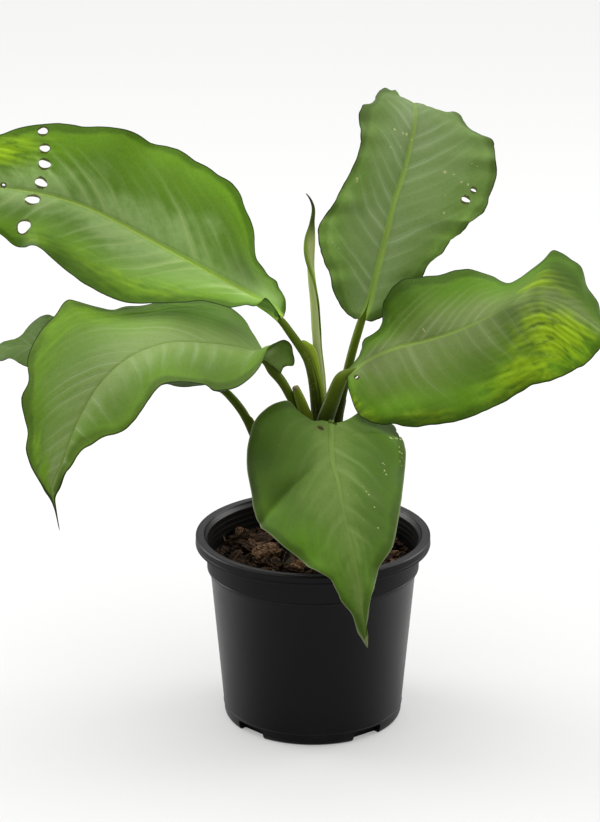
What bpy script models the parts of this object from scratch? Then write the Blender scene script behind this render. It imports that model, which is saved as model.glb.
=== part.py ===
"""Peace lily in a round black nursery pot, as separate closed solids.

Sizes are written in millimetres and turned into metres when a mesh is made.
+Z is up and the origin is the middle of the pot's underside, on the ground.
-Y is the front of the plant.
"""
import math
import random

import bmesh
import bpy
import numpy as np
from mathutils import Matrix, Vector

MM = 0.001
GAP = 0.3  # clearance between solids that touch on the real plant

# Pot
RIM_RADIUS = 75.0
POT_HEIGHT = 123.5
LIP_HEIGHT = 7.2
LIP_WIDTH = 5.8
COLLAR_FOOT = 100.5
COLLAR_RADIUS = 68.3
BODY_RADIUS_TOP = 65.6
BODY_RADIUS_FOOT = 57.1
COLLAR_STEP = 1.5  # height of the slope from the collar in to the body
FOOT_TURN = 3.0  # height where the rounded foot ends and the taper begins
FOOT_LINE = 10.0
WALL = 1.4
FLOOR = 1.5
CHANNEL_RISE = 3.0
CHANNEL_RADII = (24.0, 47.0)  # raised ring in the floor, which the pot doesn't stand on
INNER_STEP = COLLAR_FOOT - 3.0  # height where the wall inside starts to widen to the collar
POT_SEGMENTS = 48

# Drainage pockets in the foot
POCKET_PLACES = (-45.0, 38.5, 135.0, 218.5)  # degrees round from the front, to the right
POCKET_WIDTH = 19.0
POCKET_HEIGHT = 6.2
POCKET_WALL = 1.5
POCKET_DEPTH_RADIUS = 50.5
DRAIN_RADIUS = 2.8

# Soil and rootstock
SOIL_TOP = 105.0
SOIL_RELIEF = 1.6
PIT_RADIUS = 18.8
PIT_FLOOR = 86.0
CHIPS = 26
CHIP_LENGTH = (9.0, 20.0)
CHIP_WIDTH_SHARE = 0.42
CHIP_THICKNESS = 4.6
CHIP_RADII = (24.5, 59.5)
CHIP_LEAN = (14.0, 10.0)
NEAR_WALL = 50.0  # radius past which chips are shorter and lie along the wall
CROWN_TOP = 109.0
CROWN_EDGE_DROP = 5.0
STALK_FOOT = 103.0
SOCKET_PLAY = 0.5

# Leaves
BLADE_THICKNESS = 0.8
BLADE_ROWS = 22
RIB_THICKNESS = 2.6
BLADE_BASE_HALF_WIDTH = 2.2
RIPPLE = 1.3  # height of the waves along a margin
RIPPLE_WAVES = 6.5
RIPPLE_STARTS = (0.9, 2.6)  # where the waves start on the left and the right margin, in radians
ACROSS = (0.0, 0.12, 0.4, 0.7, 1.0)  # columns of each half, as shares of its width
STALK_SIDES = 10
STALK_RINGS = 14
KNEE_LENGTH = 4.0
HOLE_SIDES = 10

# Colours
GREEN_DARK = (0.060, 0.130, 0.035)
GREEN_MID = (0.090, 0.190, 0.040)
GREEN_LIGHT = (0.150, 0.270, 0.050)
STALK_GREEN = (0.120, 0.170, 0.045)
PALE_GREEN = (0.260, 0.340, 0.140)
BARK_BROWN = (0.055, 0.032, 0.020)
ROOT_BROWN = (0.120, 0.085, 0.045)
POT_BLACK = (0.012, 0.012, 0.013)


def clear_scene():
    for obj in list(bpy.data.objects):
        bpy.data.objects.remove(obj, do_unlink=True)


def material(name, colour, roughness):
    mat = bpy.data.materials.new(name)
    mat.use_nodes = True
    shader = mat.node_tree.nodes["Principled BSDF"]
    shader.inputs["Base Color"].default_value = (*colour, 1.0)
    shader.inputs["Roughness"].default_value = roughness
    shader.inputs["Metallic"].default_value = 0.0
    mat.diffuse_color = (*colour, 1.0)
    return mat


def add_object(name, bm, mat, smooth_angle=40.0):
    """Makes an object from a bmesh drawn in millimetres."""
    bmesh.ops.scale(bm, vec=(MM, MM, MM), verts=bm.verts)
    mesh = bpy.data.meshes.new(name)
    bm.to_mesh(mesh)
    bm.free()
    mesh.shade_smooth()
    mesh.set_sharp_from_angle(angle=math.radians(smooth_angle))
    mesh.materials.append(mat)
    obj = bpy.data.objects.new(name, mesh)
    bpy.context.collection.objects.link(obj)
    return obj


def hide_cutter(obj):
    obj.hide_render = True
    obj.display_type = "WIRE"


def boolean(obj, other, operation):
    mod = obj.modifiers.new(operation.title(), "BOOLEAN")
    mod.operation = operation
    mod.object = other
    mod.solver = "EXACT"
    hide_cutter(other)
    return mod


def turned(profile, segments, height=None):
    """Turns a profile round Z, from the axis over the top and down to the axis.

    Each point is (radius, z, waved); a waved point is lifted by height(x, y).
    """
    bm = bmesh.new()
    rings = []
    for radius, z, waved in profile:
        if radius == 0.0:
            rings.append([bm.verts.new((0.0, 0.0, z))])
            continue
        ring = []
        for i in range(segments):
            turn = math.tau * i / segments
            x = radius * math.cos(turn)
            y = radius * math.sin(turn)
            lift = height(x, y) if waved else 0.0
            ring.append(bm.verts.new((x, y, z + lift)))
        rings.append(ring)
    for upper, lower in zip(rings, rings[1:]):
        for i in range(segments):
            j = (i + 1) % segments
            if len(upper) == 1:
                bm.faces.new((upper[0], lower[i], lower[j]))
            elif len(lower) == 1:
                bm.faces.new((upper[i], lower[0], upper[j]))
            else:
                bm.faces.new((upper[i], lower[i], lower[j], upper[j]))
    return bm


def plain(profile):
    return [(radius, z, False) for radius, z in profile]


def body_radius(z):
    """Outer radius of the tapered body at height z."""
    share = (z - FOOT_TURN) / (COLLAR_FOOT - COLLAR_STEP - FOOT_TURN)
    return BODY_RADIUS_FOOT + (BODY_RADIUS_TOP - BODY_RADIUS_FOOT) * share


def inner_radius(z):
    return body_radius(z) - WALL


def pot_profile():
    lip_foot = POT_HEIGHT - LIP_HEIGHT
    rim_inner = RIM_RADIUS - LIP_WIDTH
    channel_in, channel_out = CHANNEL_RADII
    inside = [
        (0.0, FLOOR),
        (channel_in - 0.8, FLOOR),
        (channel_in + 1.2, FLOOR + CHANNEL_RISE),
        (channel_out - 0.4, FLOOR + CHANNEL_RISE),
        (channel_out + 1.4, FLOOR),
        (inner_radius(FOOT_TURN) - 1.2, FLOOR),
        (inner_radius(FOOT_TURN), FOOT_TURN),
        (inner_radius(INNER_STEP), INNER_STEP),
        (COLLAR_RADIUS - 2.6, COLLAR_FOOT),
        (COLLAR_RADIUS - 2.3, 106.0),
        (COLLAR_RADIUS - 1.9, 106.5),
        (COLLAR_RADIUS - 1.6, 112.5),
        (COLLAR_RADIUS - 1.2, 113.0),
        (COLLAR_RADIUS - 0.9, 119.0),
        (rim_inner, POT_HEIGHT - 1.0),
    ]
    lip = [
        (rim_inner + 0.5, POT_HEIGHT - 0.2),
        (RIM_RADIUS - 1.6, POT_HEIGHT),
        (RIM_RADIUS - 0.5, POT_HEIGHT - 0.5),
        (RIM_RADIUS, POT_HEIGHT - 1.6),
        (RIM_RADIUS - 0.3, lip_foot + 1.8),
        (RIM_RADIUS, lip_foot + 0.9),
        (RIM_RADIUS - 0.5, lip_foot),
        (COLLAR_RADIUS + 0.9, lip_foot - 0.2),
    ]
    outside = [
        (COLLAR_RADIUS, lip_foot - 1.4),
        (COLLAR_RADIUS - 1.3, COLLAR_FOOT + 0.6),
        (COLLAR_RADIUS - 1.9, COLLAR_FOOT),
        (BODY_RADIUS_TOP, COLLAR_FOOT - COLLAR_STEP),
        (body_radius(FOOT_LINE + 0.6), FOOT_LINE + 0.6),
        (body_radius(FOOT_LINE) - 0.4, FOOT_LINE),
        (body_radius(FOOT_LINE - 0.6), FOOT_LINE - 0.6),
        (BODY_RADIUS_FOOT, FOOT_TURN),
        (BODY_RADIUS_FOOT - 0.7, 0.9),
        (BODY_RADIUS_FOOT - 1.8, 0.0),
    ]
    underside = [
        (channel_out, 0.0),
        (channel_out - 1.6, CHANNEL_RISE),
        (channel_in + 1.6, CHANNEL_RISE),
        (channel_in, 0.0),
        (0.0, 0.0),
    ]
    return inside + lip + outside + underside


def block(bm, size, centre):
    """Adds a box of the given size, in millimetres, to a bmesh."""
    made = bmesh.ops.create_cube(bm, size=1.0)
    bmesh.ops.scale(bm, vec=size, verts=made["verts"])
    bmesh.ops.translate(bm, vec=centre, verts=made["verts"])
    return made["verts"]


def round_pockets(shape):
    """Repeats what shape(bm) draws on +X at each drainage pocket."""
    bm = bmesh.new()
    for place in POCKET_PLACES:
        verts = shape(bm)
        turn = Matrix.Rotation(math.radians(place - 90.0), 4, "Z")
        bmesh.ops.transform(bm, matrix=turn, verts=verts)
    return bm


def pocket_block(bm):
    inner = POCKET_DEPTH_RADIUS - POCKET_WALL
    outer = inner_radius(FOOT_TURN) - 0.4
    top = POCKET_HEIGHT + POCKET_WALL
    bottom = FLOOR / 2.0
    size = (outer - inner, POCKET_WIDTH + 2.0 * POCKET_WALL, top - bottom)
    return block(bm, size, ((outer + inner) / 2.0, 0.0, (top + bottom) / 2.0))


def pocket_cut(bm):
    outer = BODY_RADIUS_FOOT + 8.0
    size = (outer - POCKET_DEPTH_RADIUS, POCKET_WIDTH, POCKET_HEIGHT + 4.0)
    middle = (outer + POCKET_DEPTH_RADIUS) / 2.0
    return block(bm, size, (middle, 0.0, POCKET_HEIGHT - size[2] / 2.0))


def drain_cut(bm):
    made = bmesh.ops.create_cone(
        bm, cap_ends=True, segments=10, radius1=DRAIN_RADIUS, radius2=DRAIN_RADIUS, depth=8.0
    )
    place = (POCKET_DEPTH_RADIUS + DRAIN_RADIUS - 0.5, 0.0, POCKET_HEIGHT + 1.0)
    bmesh.ops.translate(bm, vec=place, verts=made["verts"])
    return made["verts"]


def make_pot(mat):
    pot = add_object("pot", turned(plain(pot_profile()), POT_SEGMENTS), mat)
    boolean(pot, add_object("pocket_blocks", round_pockets(pocket_block), mat), "UNION")
    boolean(pot, add_object("pocket_cuts", round_pockets(pocket_cut), mat), "DIFFERENCE")
    boolean(pot, add_object("drain_cuts", round_pockets(drain_cut), mat), "DIFFERENCE")
    return pot


def soil_height(x, y):
    """Low mounds in the top of the bark, flat towards the pot's wall."""
    wave = math.sin(0.16 * x + 0.7) * math.cos(0.13 * y - 0.4)
    wave += 0.6 * math.sin(0.31 * x - 0.22 * y)
    return SOIL_RELIEF * wave * (1.0 - (math.hypot(x, y) / RIM_RADIUS) ** 2)


def make_soil(mat):
    step_radius = POCKET_DEPTH_RADIUS - POCKET_WALL - GAP
    step = POCKET_HEIGHT + POCKET_WALL + GAP
    profile = [(0.0, PIT_FLOOR, False), (PIT_RADIUS, PIT_FLOOR, False)]
    edge = COLLAR_RADIUS - 2.3 - GAP
    for radius in (PIT_RADIUS, 27.0, 36.0, 45.0, 54.0, edge - 3.0):
        profile.append((radius, SOIL_TOP, True))
    profile += [
        (edge - 0.4, SOIL_TOP + 0.6, False),
        (COLLAR_RADIUS - 2.6 - GAP, COLLAR_FOOT, False),
        (inner_radius(INNER_STEP) - GAP, INNER_STEP, False),
        (inner_radius(step) - GAP, step, False),
        (step_radius, step, False),
        (step_radius, FLOOR + CHANNEL_RISE + GAP, False),
        (0.0, FLOOR + CHANNEL_RISE + GAP, False),
    ]
    soil = add_object("soil", turned(profile, 40, soil_height), mat)
    boolean(soil, add_object("bark_chips", bark_chips(), mat), "UNION")
    return soil


def bark_chips():
    """Flat chips of bark lying half sunk in the top of the soil, clear of one another."""
    draw = random.Random(7)
    bm = bmesh.new()
    for i in range(CHIPS):
        turn = math.tau * (i * 0.618)
        nearest, farthest = CHIP_RADII
        radius = nearest + (farthest - nearest) * math.sqrt((i + 0.5) / CHIPS)
        x = radius * math.cos(turn)
        y = radius * math.sin(turn)
        length = draw.uniform(*CHIP_LENGTH) * (0.7 if radius > NEAR_WALL else 1.0)
        verts = block(bm, (length, length * CHIP_WIDTH_SHARE, CHIP_THICKNESS), (0.0, 0.0, 0.0))
        lean_x = math.radians(draw.uniform(-CHIP_LEAN[0], CHIP_LEAN[0]))
        lean_y = math.radians(draw.uniform(-CHIP_LEAN[1], CHIP_LEAN[1]))
        lean = Matrix.Rotation(lean_y, 4, "Y") @ Matrix.Rotation(lean_x, 4, "X")
        heading = turn + math.pi / 2.0 if radius > NEAR_WALL else draw.uniform(0.0, math.pi)
        spin = Matrix.Rotation(heading, 4, "Z")
        place = Matrix.Translation((x, y, SOIL_TOP + soil_height(x, y) + 0.6))
        bmesh.ops.transform(bm, matrix=place @ spin @ lean, verts=verts)
    return bm


def smooth_curve(points, count):
    """Points evenly spread in parameter along a Catmull-Rom curve through the given points."""
    pts = np.array(points, dtype=float)
    first = 2.0 * pts[0] - pts[1]
    last = 2.0 * pts[-1] - pts[-2]
    padded = np.vstack([first, pts, last])
    out = []
    for place in np.linspace(0.0, len(pts) - 1.0, count):
        i = min(int(place), len(pts) - 2)
        f = place - i
        a, b, c, d = padded[i : i + 4]
        out.append(
            0.5 * (2.0 * b + (c - a) * f + (2.0 * a - 5.0 * b + 4.0 * c - d) * f**2
                   + (3.0 * b - a - 3.0 * c + d) * f**3)
        )
    return np.array(out)


def unit(vector):
    return vector / np.linalg.norm(vector)


def tube(route, radii, sides, rings):
    """A round closed tube along a smooth curve, its radius running smoothly through radii."""
    path = smooth_curve(route, rings)
    sizes = np.interp(np.linspace(0.0, 1.0, rings), np.linspace(0.0, 1.0, len(radii)), radii)
    ahead = np.gradient(path, axis=0)
    side = unit(np.cross(ahead[0], (0.0, 1.0, 0.0)))
    bm = bmesh.new()
    loops = []
    for point, along, size in zip(path, ahead, sizes):
        along = unit(along)
        side = unit(side - along * np.dot(side, along))
        other = np.cross(along, side)
        loop = []
        for i in range(sides):
            turn = math.tau * i / sides
            offset = side * math.cos(turn) + other * math.sin(turn)
            loop.append(bm.verts.new(point + offset * size))
        loops.append(loop)
    for lower, upper in zip(loops, loops[1:]):
        for i in range(sides):
            j = (i + 1) % sides
            bm.faces.new((lower[i], lower[j], upper[j], upper[i]))
    bm.faces.new(list(reversed(loops[0])))
    bm.faces.new(loops[-1])
    return bm


def knee_route(leaf):
    """The stalk's route, turned at its top into the line of the midrib."""
    knee = np.array(leaf["knee"], dtype=float)
    along = unit(np.array(leaf["stations"][0][1], dtype=float) - knee)
    return list(leaf["stalk"]) + [knee - along * KNEE_LENGTH, knee]


def blade_curves(leaf, rows):
    """Left margin, midrib and right margin, from the knee to the tip."""
    knee = np.array(leaf["knee"], dtype=float)
    left, rib, right = (np.array(line, dtype=float) for line in zip(*leaf["stations"]))
    along = unit(rib[0] - knee)
    across = left[0] - right[0]
    across = unit(across - along * np.dot(across, along))
    base = knee + along * (GAP + 0.05)
    tip = np.array(leaf["tip"], dtype=float)
    left = np.vstack([base + across * BLADE_BASE_HALF_WIDTH, left, tip])
    right = np.vstack([base - across * BLADE_BASE_HALF_WIDTH, right, tip])
    rib = np.vstack([base, rib, tip])
    return [smooth_curve(line, rows) for line in (left, rib, right)]


def blade_grid(leaf):
    """Points of the upper face: rows along the midrib, columns from left to right margin."""
    rows = BLADE_ROWS
    left, rib, right = blade_curves(leaf, rows)
    shares = [-s for s in reversed(ACROSS[1:])] + list(ACROSS)
    ahead = np.gradient(rib, axis=0)
    grid = np.zeros((rows, len(shares), 3))
    for i in range(rows):
        up = unit(np.cross(right[i] - left[i], ahead[i])) if i < rows - 1 else up
        for j, share in enumerate(shares):
            edge = left[i] if share < 0.0 else right[i]
            reach = abs(share)
            width = np.linalg.norm(edge - rib[i])
            rise = leaf["arch"] * width * 4.0 * reach * (1.0 - reach)
            rise += ripple(i / (rows - 1), share)
            grid[i, j] = rib[i] + (edge - rib[i]) * reach + up * rise
    return grid


def ripple(along, across):
    """The waved margin: nothing at the midrib, the knee and the tip."""
    start = RIPPLE_STARTS[0] if across < 0.0 else RIPPLE_STARTS[1]
    wave = math.sin(math.tau * RIPPLE_WAVES * along + start)
    return RIPPLE * abs(across) ** 3 * wave * math.sin(math.pi * along) ** 0.5


def blade_solid(leaf):
    """The blade as one thin closed sheet, thicker under the midrib."""
    grid = blade_grid(leaf)
    rows, columns = grid.shape[:2]
    middle = columns // 2
    bm = bmesh.new()
    top = [[bm.verts.new(point) for point in row] for row in grid[:-1]]
    tip = bm.verts.new(grid[-1, middle])
    faces = []
    for i in range(rows - 2):
        for j in range(columns - 1):
            a, b = top[i][j], top[i][j + 1]
            c, d = top[i + 1][j + 1], top[i + 1][j]
            halves = ((a, b, c), (a, c, d)) if j < middle else ((a, b, d), (b, c, d))
            faces += [bm.faces.new(half) for half in halves]
    for j in range(columns - 1):
        faces.append(bm.faces.new((top[-1][j], top[-1][j + 1], tip)))
    bm.normal_update()
    under = {}
    for i, row in enumerate(top):
        taper = 1.0 - i / (rows - 1)
        for j, vert in enumerate(row):
            extra = (RIB_THICKNESS - BLADE_THICKNESS) * taper if j == middle or i == 0 else 0.0
            under[vert] = bm.verts.new(vert.co - vert.normal * (BLADE_THICKNESS + extra))
    under[tip] = bm.verts.new(tip.co - tip.normal * BLADE_THICKNESS)
    for face in faces:
        bm.faces.new([under[v] for v in reversed(face.verts)])
    rim = list(top[0]) + [row[-1] for row in top[1:]] + [tip]
    rim += [row[0] for row in reversed(top[1:])]
    for a, b in zip(rim, rim[1:] + rim[:1]):
        low, high = under[a], under[b]
        bm.faces.new((b, a, low))
        bm.faces.new((b, low, high))
    return bm


def hole_cutters(leaf):
    """Oval cutters through the blade; a hole is (row share, across share, length, width)."""
    rows = 200
    left, rib, right = blade_curves(leaf, rows)
    bm = bmesh.new()
    for along, across, length, width in leaf["holes"]:
        i = round(along * (rows - 1))
        edge = left[i] if across < 0.0 else right[i]
        ahead = unit(rib[i + 1] - rib[i])
        up = unit(np.cross(right[i] - left[i], ahead))
        out = edge - rib[i]
        reach = abs(across)
        rise = leaf["arch"] * np.linalg.norm(out) * 4.0 * reach * (1.0 - reach)
        centre = rib[i] + out * reach + up * (rise + ripple(along, across))
        normal = unit(np.cross(out, ahead))
        side = unit(np.cross(normal, ahead))
        made = bmesh.ops.create_cone(
            bm, cap_ends=True, segments=HOLE_SIDES, radius1=0.5, radius2=0.5, depth=9.0
        )
        axes = Matrix((ahead * length, side * width, normal)).transposed().to_4x4()
        place = Matrix.Translation(Vector(centre)) @ axes
        bmesh.ops.transform(bm, matrix=place, verts=made["verts"])
    return bm


# Each leaf: its stalk's route up from the rootstock, its knee, and stations along the blade.
# A station gives the left margin, the midrib and the right margin, seen along the midrib
# from the knee with the upper face up. "arch" is the rise of each half, as a share of its width.
LEAVES = {
    "upper_left": {
        "colour": GREEN_MID,
        "stalk": [(-1, 5, STALK_FOOT), (-1, 5, 116), (1, 4, 150), (3, 4, 188), (3, 5, 210),
                  (2, 6, 222), (-2, 7, 237), (-10, 8, 252)],
        "radii": (3.8, 3.9, 3.9, 3.8, 3.7, 3.2, 2.8, 2.7),
        "knee": (-19, 8, 264),
        "stations": [
            ((-32, -2, 272), (-28, 12, 271), (-21, 18, 281)),
            ((-44, -10, 279), (-41, 17, 277), (-32, 26, 291)),
            ((-64, -10, 280), (-57, 24, 284), (-38, 37, 313)),
            ((-90, -6, 280), (-78, 32, 294), (-50, 47, 337)),
            ((-118, 0, 279), (-100, 40, 304), (-73, 56, 351)),
            ((-141, 6, 287), (-122, 48, 314), (-96, 63, 360)),
            ((-157, 15, 296), (-144, 55, 323), (-125, 69, 371)),
            ((-174, 26, 306), (-168, 61, 329), (-157, 74, 372)),
            ((-186, 38, 302), (-193, 66, 332), (-186, 77, 369)),
            ((-216, 50, 312), (-218, 69, 334), (-213, 77, 357)),
            ((-241, 63, 327), (-240, 71, 335), (-239, 75, 345)),
        ],
        "tip": (-260, 73, 333),
        "arch": 0.07,
        "holes": [
            (0.700, 0.88, 6.3, 4.4),
            (0.693, 0.66, 6.3, 4.4),
            (0.690, 0.43, 7.6, 5.0),
            (0.688, 0.17, 8.2, 4.6),
            (0.697, -0.16, 10.6, 6.2),
            (0.722, -0.63, 11.0, 7.6),
        ],
    },
    "upper_right": {
        "colour": GREEN_DARK,
        "stalk": [(12, 6, STALK_FOOT), (12, 6, 116), (13, 9, 145), (16, 13, 180), (19, 16, 204),
                  (24, 20, 226), (28, 23, 243)],
        "radii": (3.4, 3.2, 3.0, 2.9, 2.8, 2.6, 2.6),
        "knee": (31, 26, 257),
        "stations": [
            ((19, 18, 267), (35, 27, 268), (47, 24, 263)),
            ((12, 12, 286), (39, 30, 284), (65, 27, 282)),
            ((7, 11, 304), (43, 34, 299), (80, 29, 301)),
            ((3, 13, 321), (47, 37, 315), (93, 31, 314)),
            ((14, 18, 336), (51, 42, 331), (107, 35, 328)),
            ((25, 28, 356), (57, 51, 347), (114, 46, 348)),
            ((30, 42, 374), (62, 63, 362), (114, 58, 362)),
            ((32, 60, 387), (65, 78, 374), (98, 76, 372)),
            ((39, 84, 389), (64, 98, 374), (82, 96, 376)),
            ((50, 112, 382), (62, 120, 363), (71, 118, 368)),
            ((53, 138, 362), (59, 140, 347), (64, 139, 353)),
        ],
        "tip": (57, 156, 331),
        "arch": 0.05,
        "holes": [(0.438, 0.775, 6.2, 3.4)],
    },
    "right": {
        "colour": GREEN_LIGHT,
        "stalk": [(7, -5, STALK_FOOT), (7, -5, 116), (7, -6, 150), (7, -8, 185), (8, -9, 202),
                  (11, -11, 217), (14, -12, 227)],
        "radii": (3.6, 3.5, 3.4, 3.4, 3.4, 3.3, 3.1),
        "knee": (20, -13, 233),
        "stations": [
            ((28, -3, 243), (31, -11, 241), (25, -24, 221)),
            ((33, 4, 250), (41, -9, 246), (31, -30, 211)),
            ((43, 10, 260), (53, -7, 250), (44, -32, 207)),
            ((44, 12, 275), (64, -5, 252), (61, -32, 206)),
            ((57, 16, 287), (76, -4, 255), (81, -30, 207)),
            ((80, 29, 287), (89, -3, 259), (100, -28, 213)),
            ((104, 38, 286), (103, -2, 265), (118, -26, 221)),
            ((123, 34, 278), (116, -2, 272), (134, -24, 230)),
            ((141, 30, 291), (129, -3, 278), (147, -24, 236)),
            ((153, 26, 303), (141, -5, 281), (159, -24, 240)),
            ((168, 16, 296), (154, -8, 278), (168, -23, 246)),
            ((175, 2, 280), (167, -12, 271), (177, -22, 253)),
        ],
        "tip": (187, -19, 257),
        "arch": 0.05,
        "holes": [],
    },
    "front": {
        "colour": GREEN_MID,
        "stalk": [(5, -13, STALK_FOOT), (5, -13, 116), (7, -17, 145), (9, -24, 178), (10, -29, 197)],
        "radii": (3.4, 3.3, 3.2, 3.0, 2.7),
        "knee": (11, -38, 211),
        "stations": [
            ((37, -14, 207), (11, -47, 207), (-18, -34, 222)),
            ((50, -18, 200), (11, -60, 203), (-34, -44, 216)),
            ((55, -36, 195), (12, -73, 197), (-40, -52, 201)),
            ((55, -58, 185), (15, -86, 190), (-40, -62, 185)),
            ((52, -84, 175), (17, -98, 181), (-35, -78, 170)),
            ((47, -100, 164), (20, -109, 170), (-23, -98, 159)),
            ((42, -114, 152), (23, -119, 159), (-6, -114, 149)),
            ((38, -126, 140), (26, -127, 147), (8, -123, 144)),
            ((34, -133, 131), (28, -134, 134), (16, -132, 132)),
            ((32, -141, 119), (30, -141, 121), (25, -140, 119)),
        ],
        "tip": (32, -147, 107),
        "arch": 0.06,
        "holes": [],
    },
    "left": {
        "colour": GREEN_DARK,
        "stalk": [(-10, -3, STALK_FOOT), (-10, -3, 116), (-8, -4, 150), (-8, -6, 185),
                  (-11, -6, 206), (-16, -6, 218)],
        "radii": (3.2, 3.0, 2.8, 2.7, 2.6, 2.5),
        "knee": (-22, -4, 230),
        "stations": [
            ((-15, -14, 241), (-26, -6, 237), (-27, 7, 236)),
            ((-14, -28, 256), (-29, -8, 242), (-32, 14, 240)),
            ((-25, -42, 263), (-34, -10, 246), (-36, 21, 247)),
            ((-33, -50, 252), (-41, -12, 250), (-43, 27, 255)),
            ((-45, -56, 244), (-53, -15, 254), (-56, 30, 265)),
            ((-61, -60, 240), (-70, -19, 257), (-75, 28, 270)),
            ((-77, -62, 244), (-87, -24, 259), (-96, 24, 270)),
            ((-93, -63, 243), (-104, -30, 256), (-121, 16, 267)),
            ((-104, -63, 230), (-119, -37, 249), (-143, 6, 273)),
            ((-116, -62, 215), (-132, -43, 237), (-159, -8, 273)),
            ((-130, -61, 210), (-141, -48, 223), (-173, -26, 256)),
            ((-144, -60, 200), (-148, -52, 209), (-176, -42, 232)),
            ((-151, -60, 189), (-154, -56, 192), (-177, -50, 204)),
            ((-156, -60, 173), (-158, -59, 176), (-166, -57, 176)),
        ],
        "tip": (-156, -64, 151),
        "arch": 0.05,
        "holes": [],
    },
    "back_left": {
        "colour": GREEN_MID,
        "stalk": [(-12, 7, STALK_FOOT), (-12, 7, 116), (-18, 8, 138), (-29, 9, 165), (-38, 10, 184),
                  (-46, 12, 200)],
        "radii": (3.2, 3.0, 2.8, 2.7, 2.6, 2.5),
        "knee": (-54, 14, 214),
        "stations": [
            ((-66, 2, 220), (-68, 20, 221), (-69, 34, 232)),
            ((-83, -4, 221), (-91, 26, 226), (-95, 50, 241)),
            ((-109, 2, 222), (-116, 33, 230), (-124, 62, 244)),
            ((-134, 10, 224), (-141, 40, 232), (-150, 70, 244)),
            ((-160, 20, 224), (-162, 46, 234), (-172, 74, 245)),
            ((-183, 32, 224), (-183, 52, 232), (-187, 72, 234)),
            ((-198, 46, 224), (-202, 58, 226), (-201, 66, 229)),
        ],
        "tip": (-220, 62, 214),
        "arch": 0.05,
        "holes": [],
    },
}

# The youngest leaf, still rolled up, and the stump of a leaf that was cut away.
ROLLED_LEAF_ROUTE = [(3, 12, STALK_FOOT), (3, 12, 116), (5, 12, 150), (6, 11, 195), (7, 11, 222),
                     (5, 11, 244), (3.4, 11.5, 263), (1.2, 12, 279), (-0.7, 12, 294), (-2.4, 12, 312),
                     (0, 12, 328), (-0.7, 12, 337), (-4.5, 12, 345)]
ROLLED_LEAF_RADII = (3.0, 3.0, 3.0, 3.1, 3.1, 3.0, 2.8, 2.5, 2.5, 2.6, 1.1, 0.8, 0.5)
STUMP_ROUTE = [(-3, -9, STALK_FOOT), (-3, -9, 116), (-2, -9, 150), (-1, -9, 180), (-2, -9, 199),
               (-7, -9, 213), (-11, -9, 223)]
STUMP_RADII = (3.0, 2.9, 2.8, 2.8, 2.8, 2.8, 2.7)


def socket_cutter(bm, foot, radius):
    """Adds the upright cylinder that a stalk's foot stands in."""
    made = bmesh.ops.create_cone(
        bm, cap_ends=True, segments=STALK_SIDES, radius1=radius, radius2=radius, depth=20.0
    )
    place = (foot[0], foot[1], STALK_FOOT - GAP + 10.0)
    bmesh.ops.translate(bm, vec=place, verts=made["verts"])


def make_crown(mat):
    """The rootstock that carries every leaf, set in its pit in the soil."""
    edge = PIT_RADIUS - GAP
    profile = [
        (0.0, CROWN_TOP),
        (edge * 0.5, CROWN_TOP - 0.4),
        (edge * 0.8, CROWN_TOP - 1.8),
        (edge, CROWN_TOP - CROWN_EDGE_DROP),
        (edge - 0.4, PIT_FLOOR + 6.0),
        (edge - 4.0, PIT_FLOOR + GAP),
        (0.0, PIT_FLOOR + GAP),
    ]
    crown = add_object("rootstock", turned(plain(profile), 32), mat)
    feet = [(leaf["stalk"][0], leaf["radii"][0]) for leaf in LEAVES.values()]
    feet.append((ROLLED_LEAF_ROUTE[0], ROLLED_LEAF_RADII[0]))
    feet.append((STUMP_ROUTE[0], STUMP_RADII[0]))
    bm = bmesh.new()
    for foot, radius in feet:
        socket_cutter(bm, foot, radius + SOCKET_PLAY)
    boolean(crown, add_object("sockets", bm, mat), "DIFFERENCE")
    return crown


def make_leaf(name, leaf, stalk_mat):
    blade_mat = material("blade_" + name, leaf["colour"], 0.42)
    blade = add_object("blade_" + name, blade_solid(leaf), blade_mat, 60.0)
    if leaf["holes"]:
        boolean(blade, add_object("holes_" + name, hole_cutters(leaf), blade_mat), "DIFFERENCE")
    stalk = tube(knee_route(leaf), leaf["radii"], STALK_SIDES, STALK_RINGS)
    add_object("stalk_" + name, stalk, stalk_mat, 60.0)


def main():
    clear_scene()
    make_pot(material("pot_plastic", POT_BLACK, 0.40))
    make_soil(material("bark_mix", BARK_BROWN, 0.90))
    make_crown(material("rootstock", ROOT_BROWN, 0.80))
    stalk_mat = material("stalk", STALK_GREEN, 0.45)
    for name, leaf in LEAVES.items():
        make_leaf(name, leaf, stalk_mat)
    rolled = tube(ROLLED_LEAF_ROUTE, ROLLED_LEAF_RADII, STALK_SIDES, 22)
    add_object("rolled_leaf", rolled, material("rolled_leaf", PALE_GREEN, 0.45), 60.0)
    stump = tube(STUMP_ROUTE, STUMP_RADII, STALK_SIDES, STALK_RINGS)
    add_object("cut_stalk", stump, stalk_mat, 60.0)


main()
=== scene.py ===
import math
import random

import bmesh
import bpy
import numpy as np
from mathutils import Matrix, Vector, noise


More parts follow.
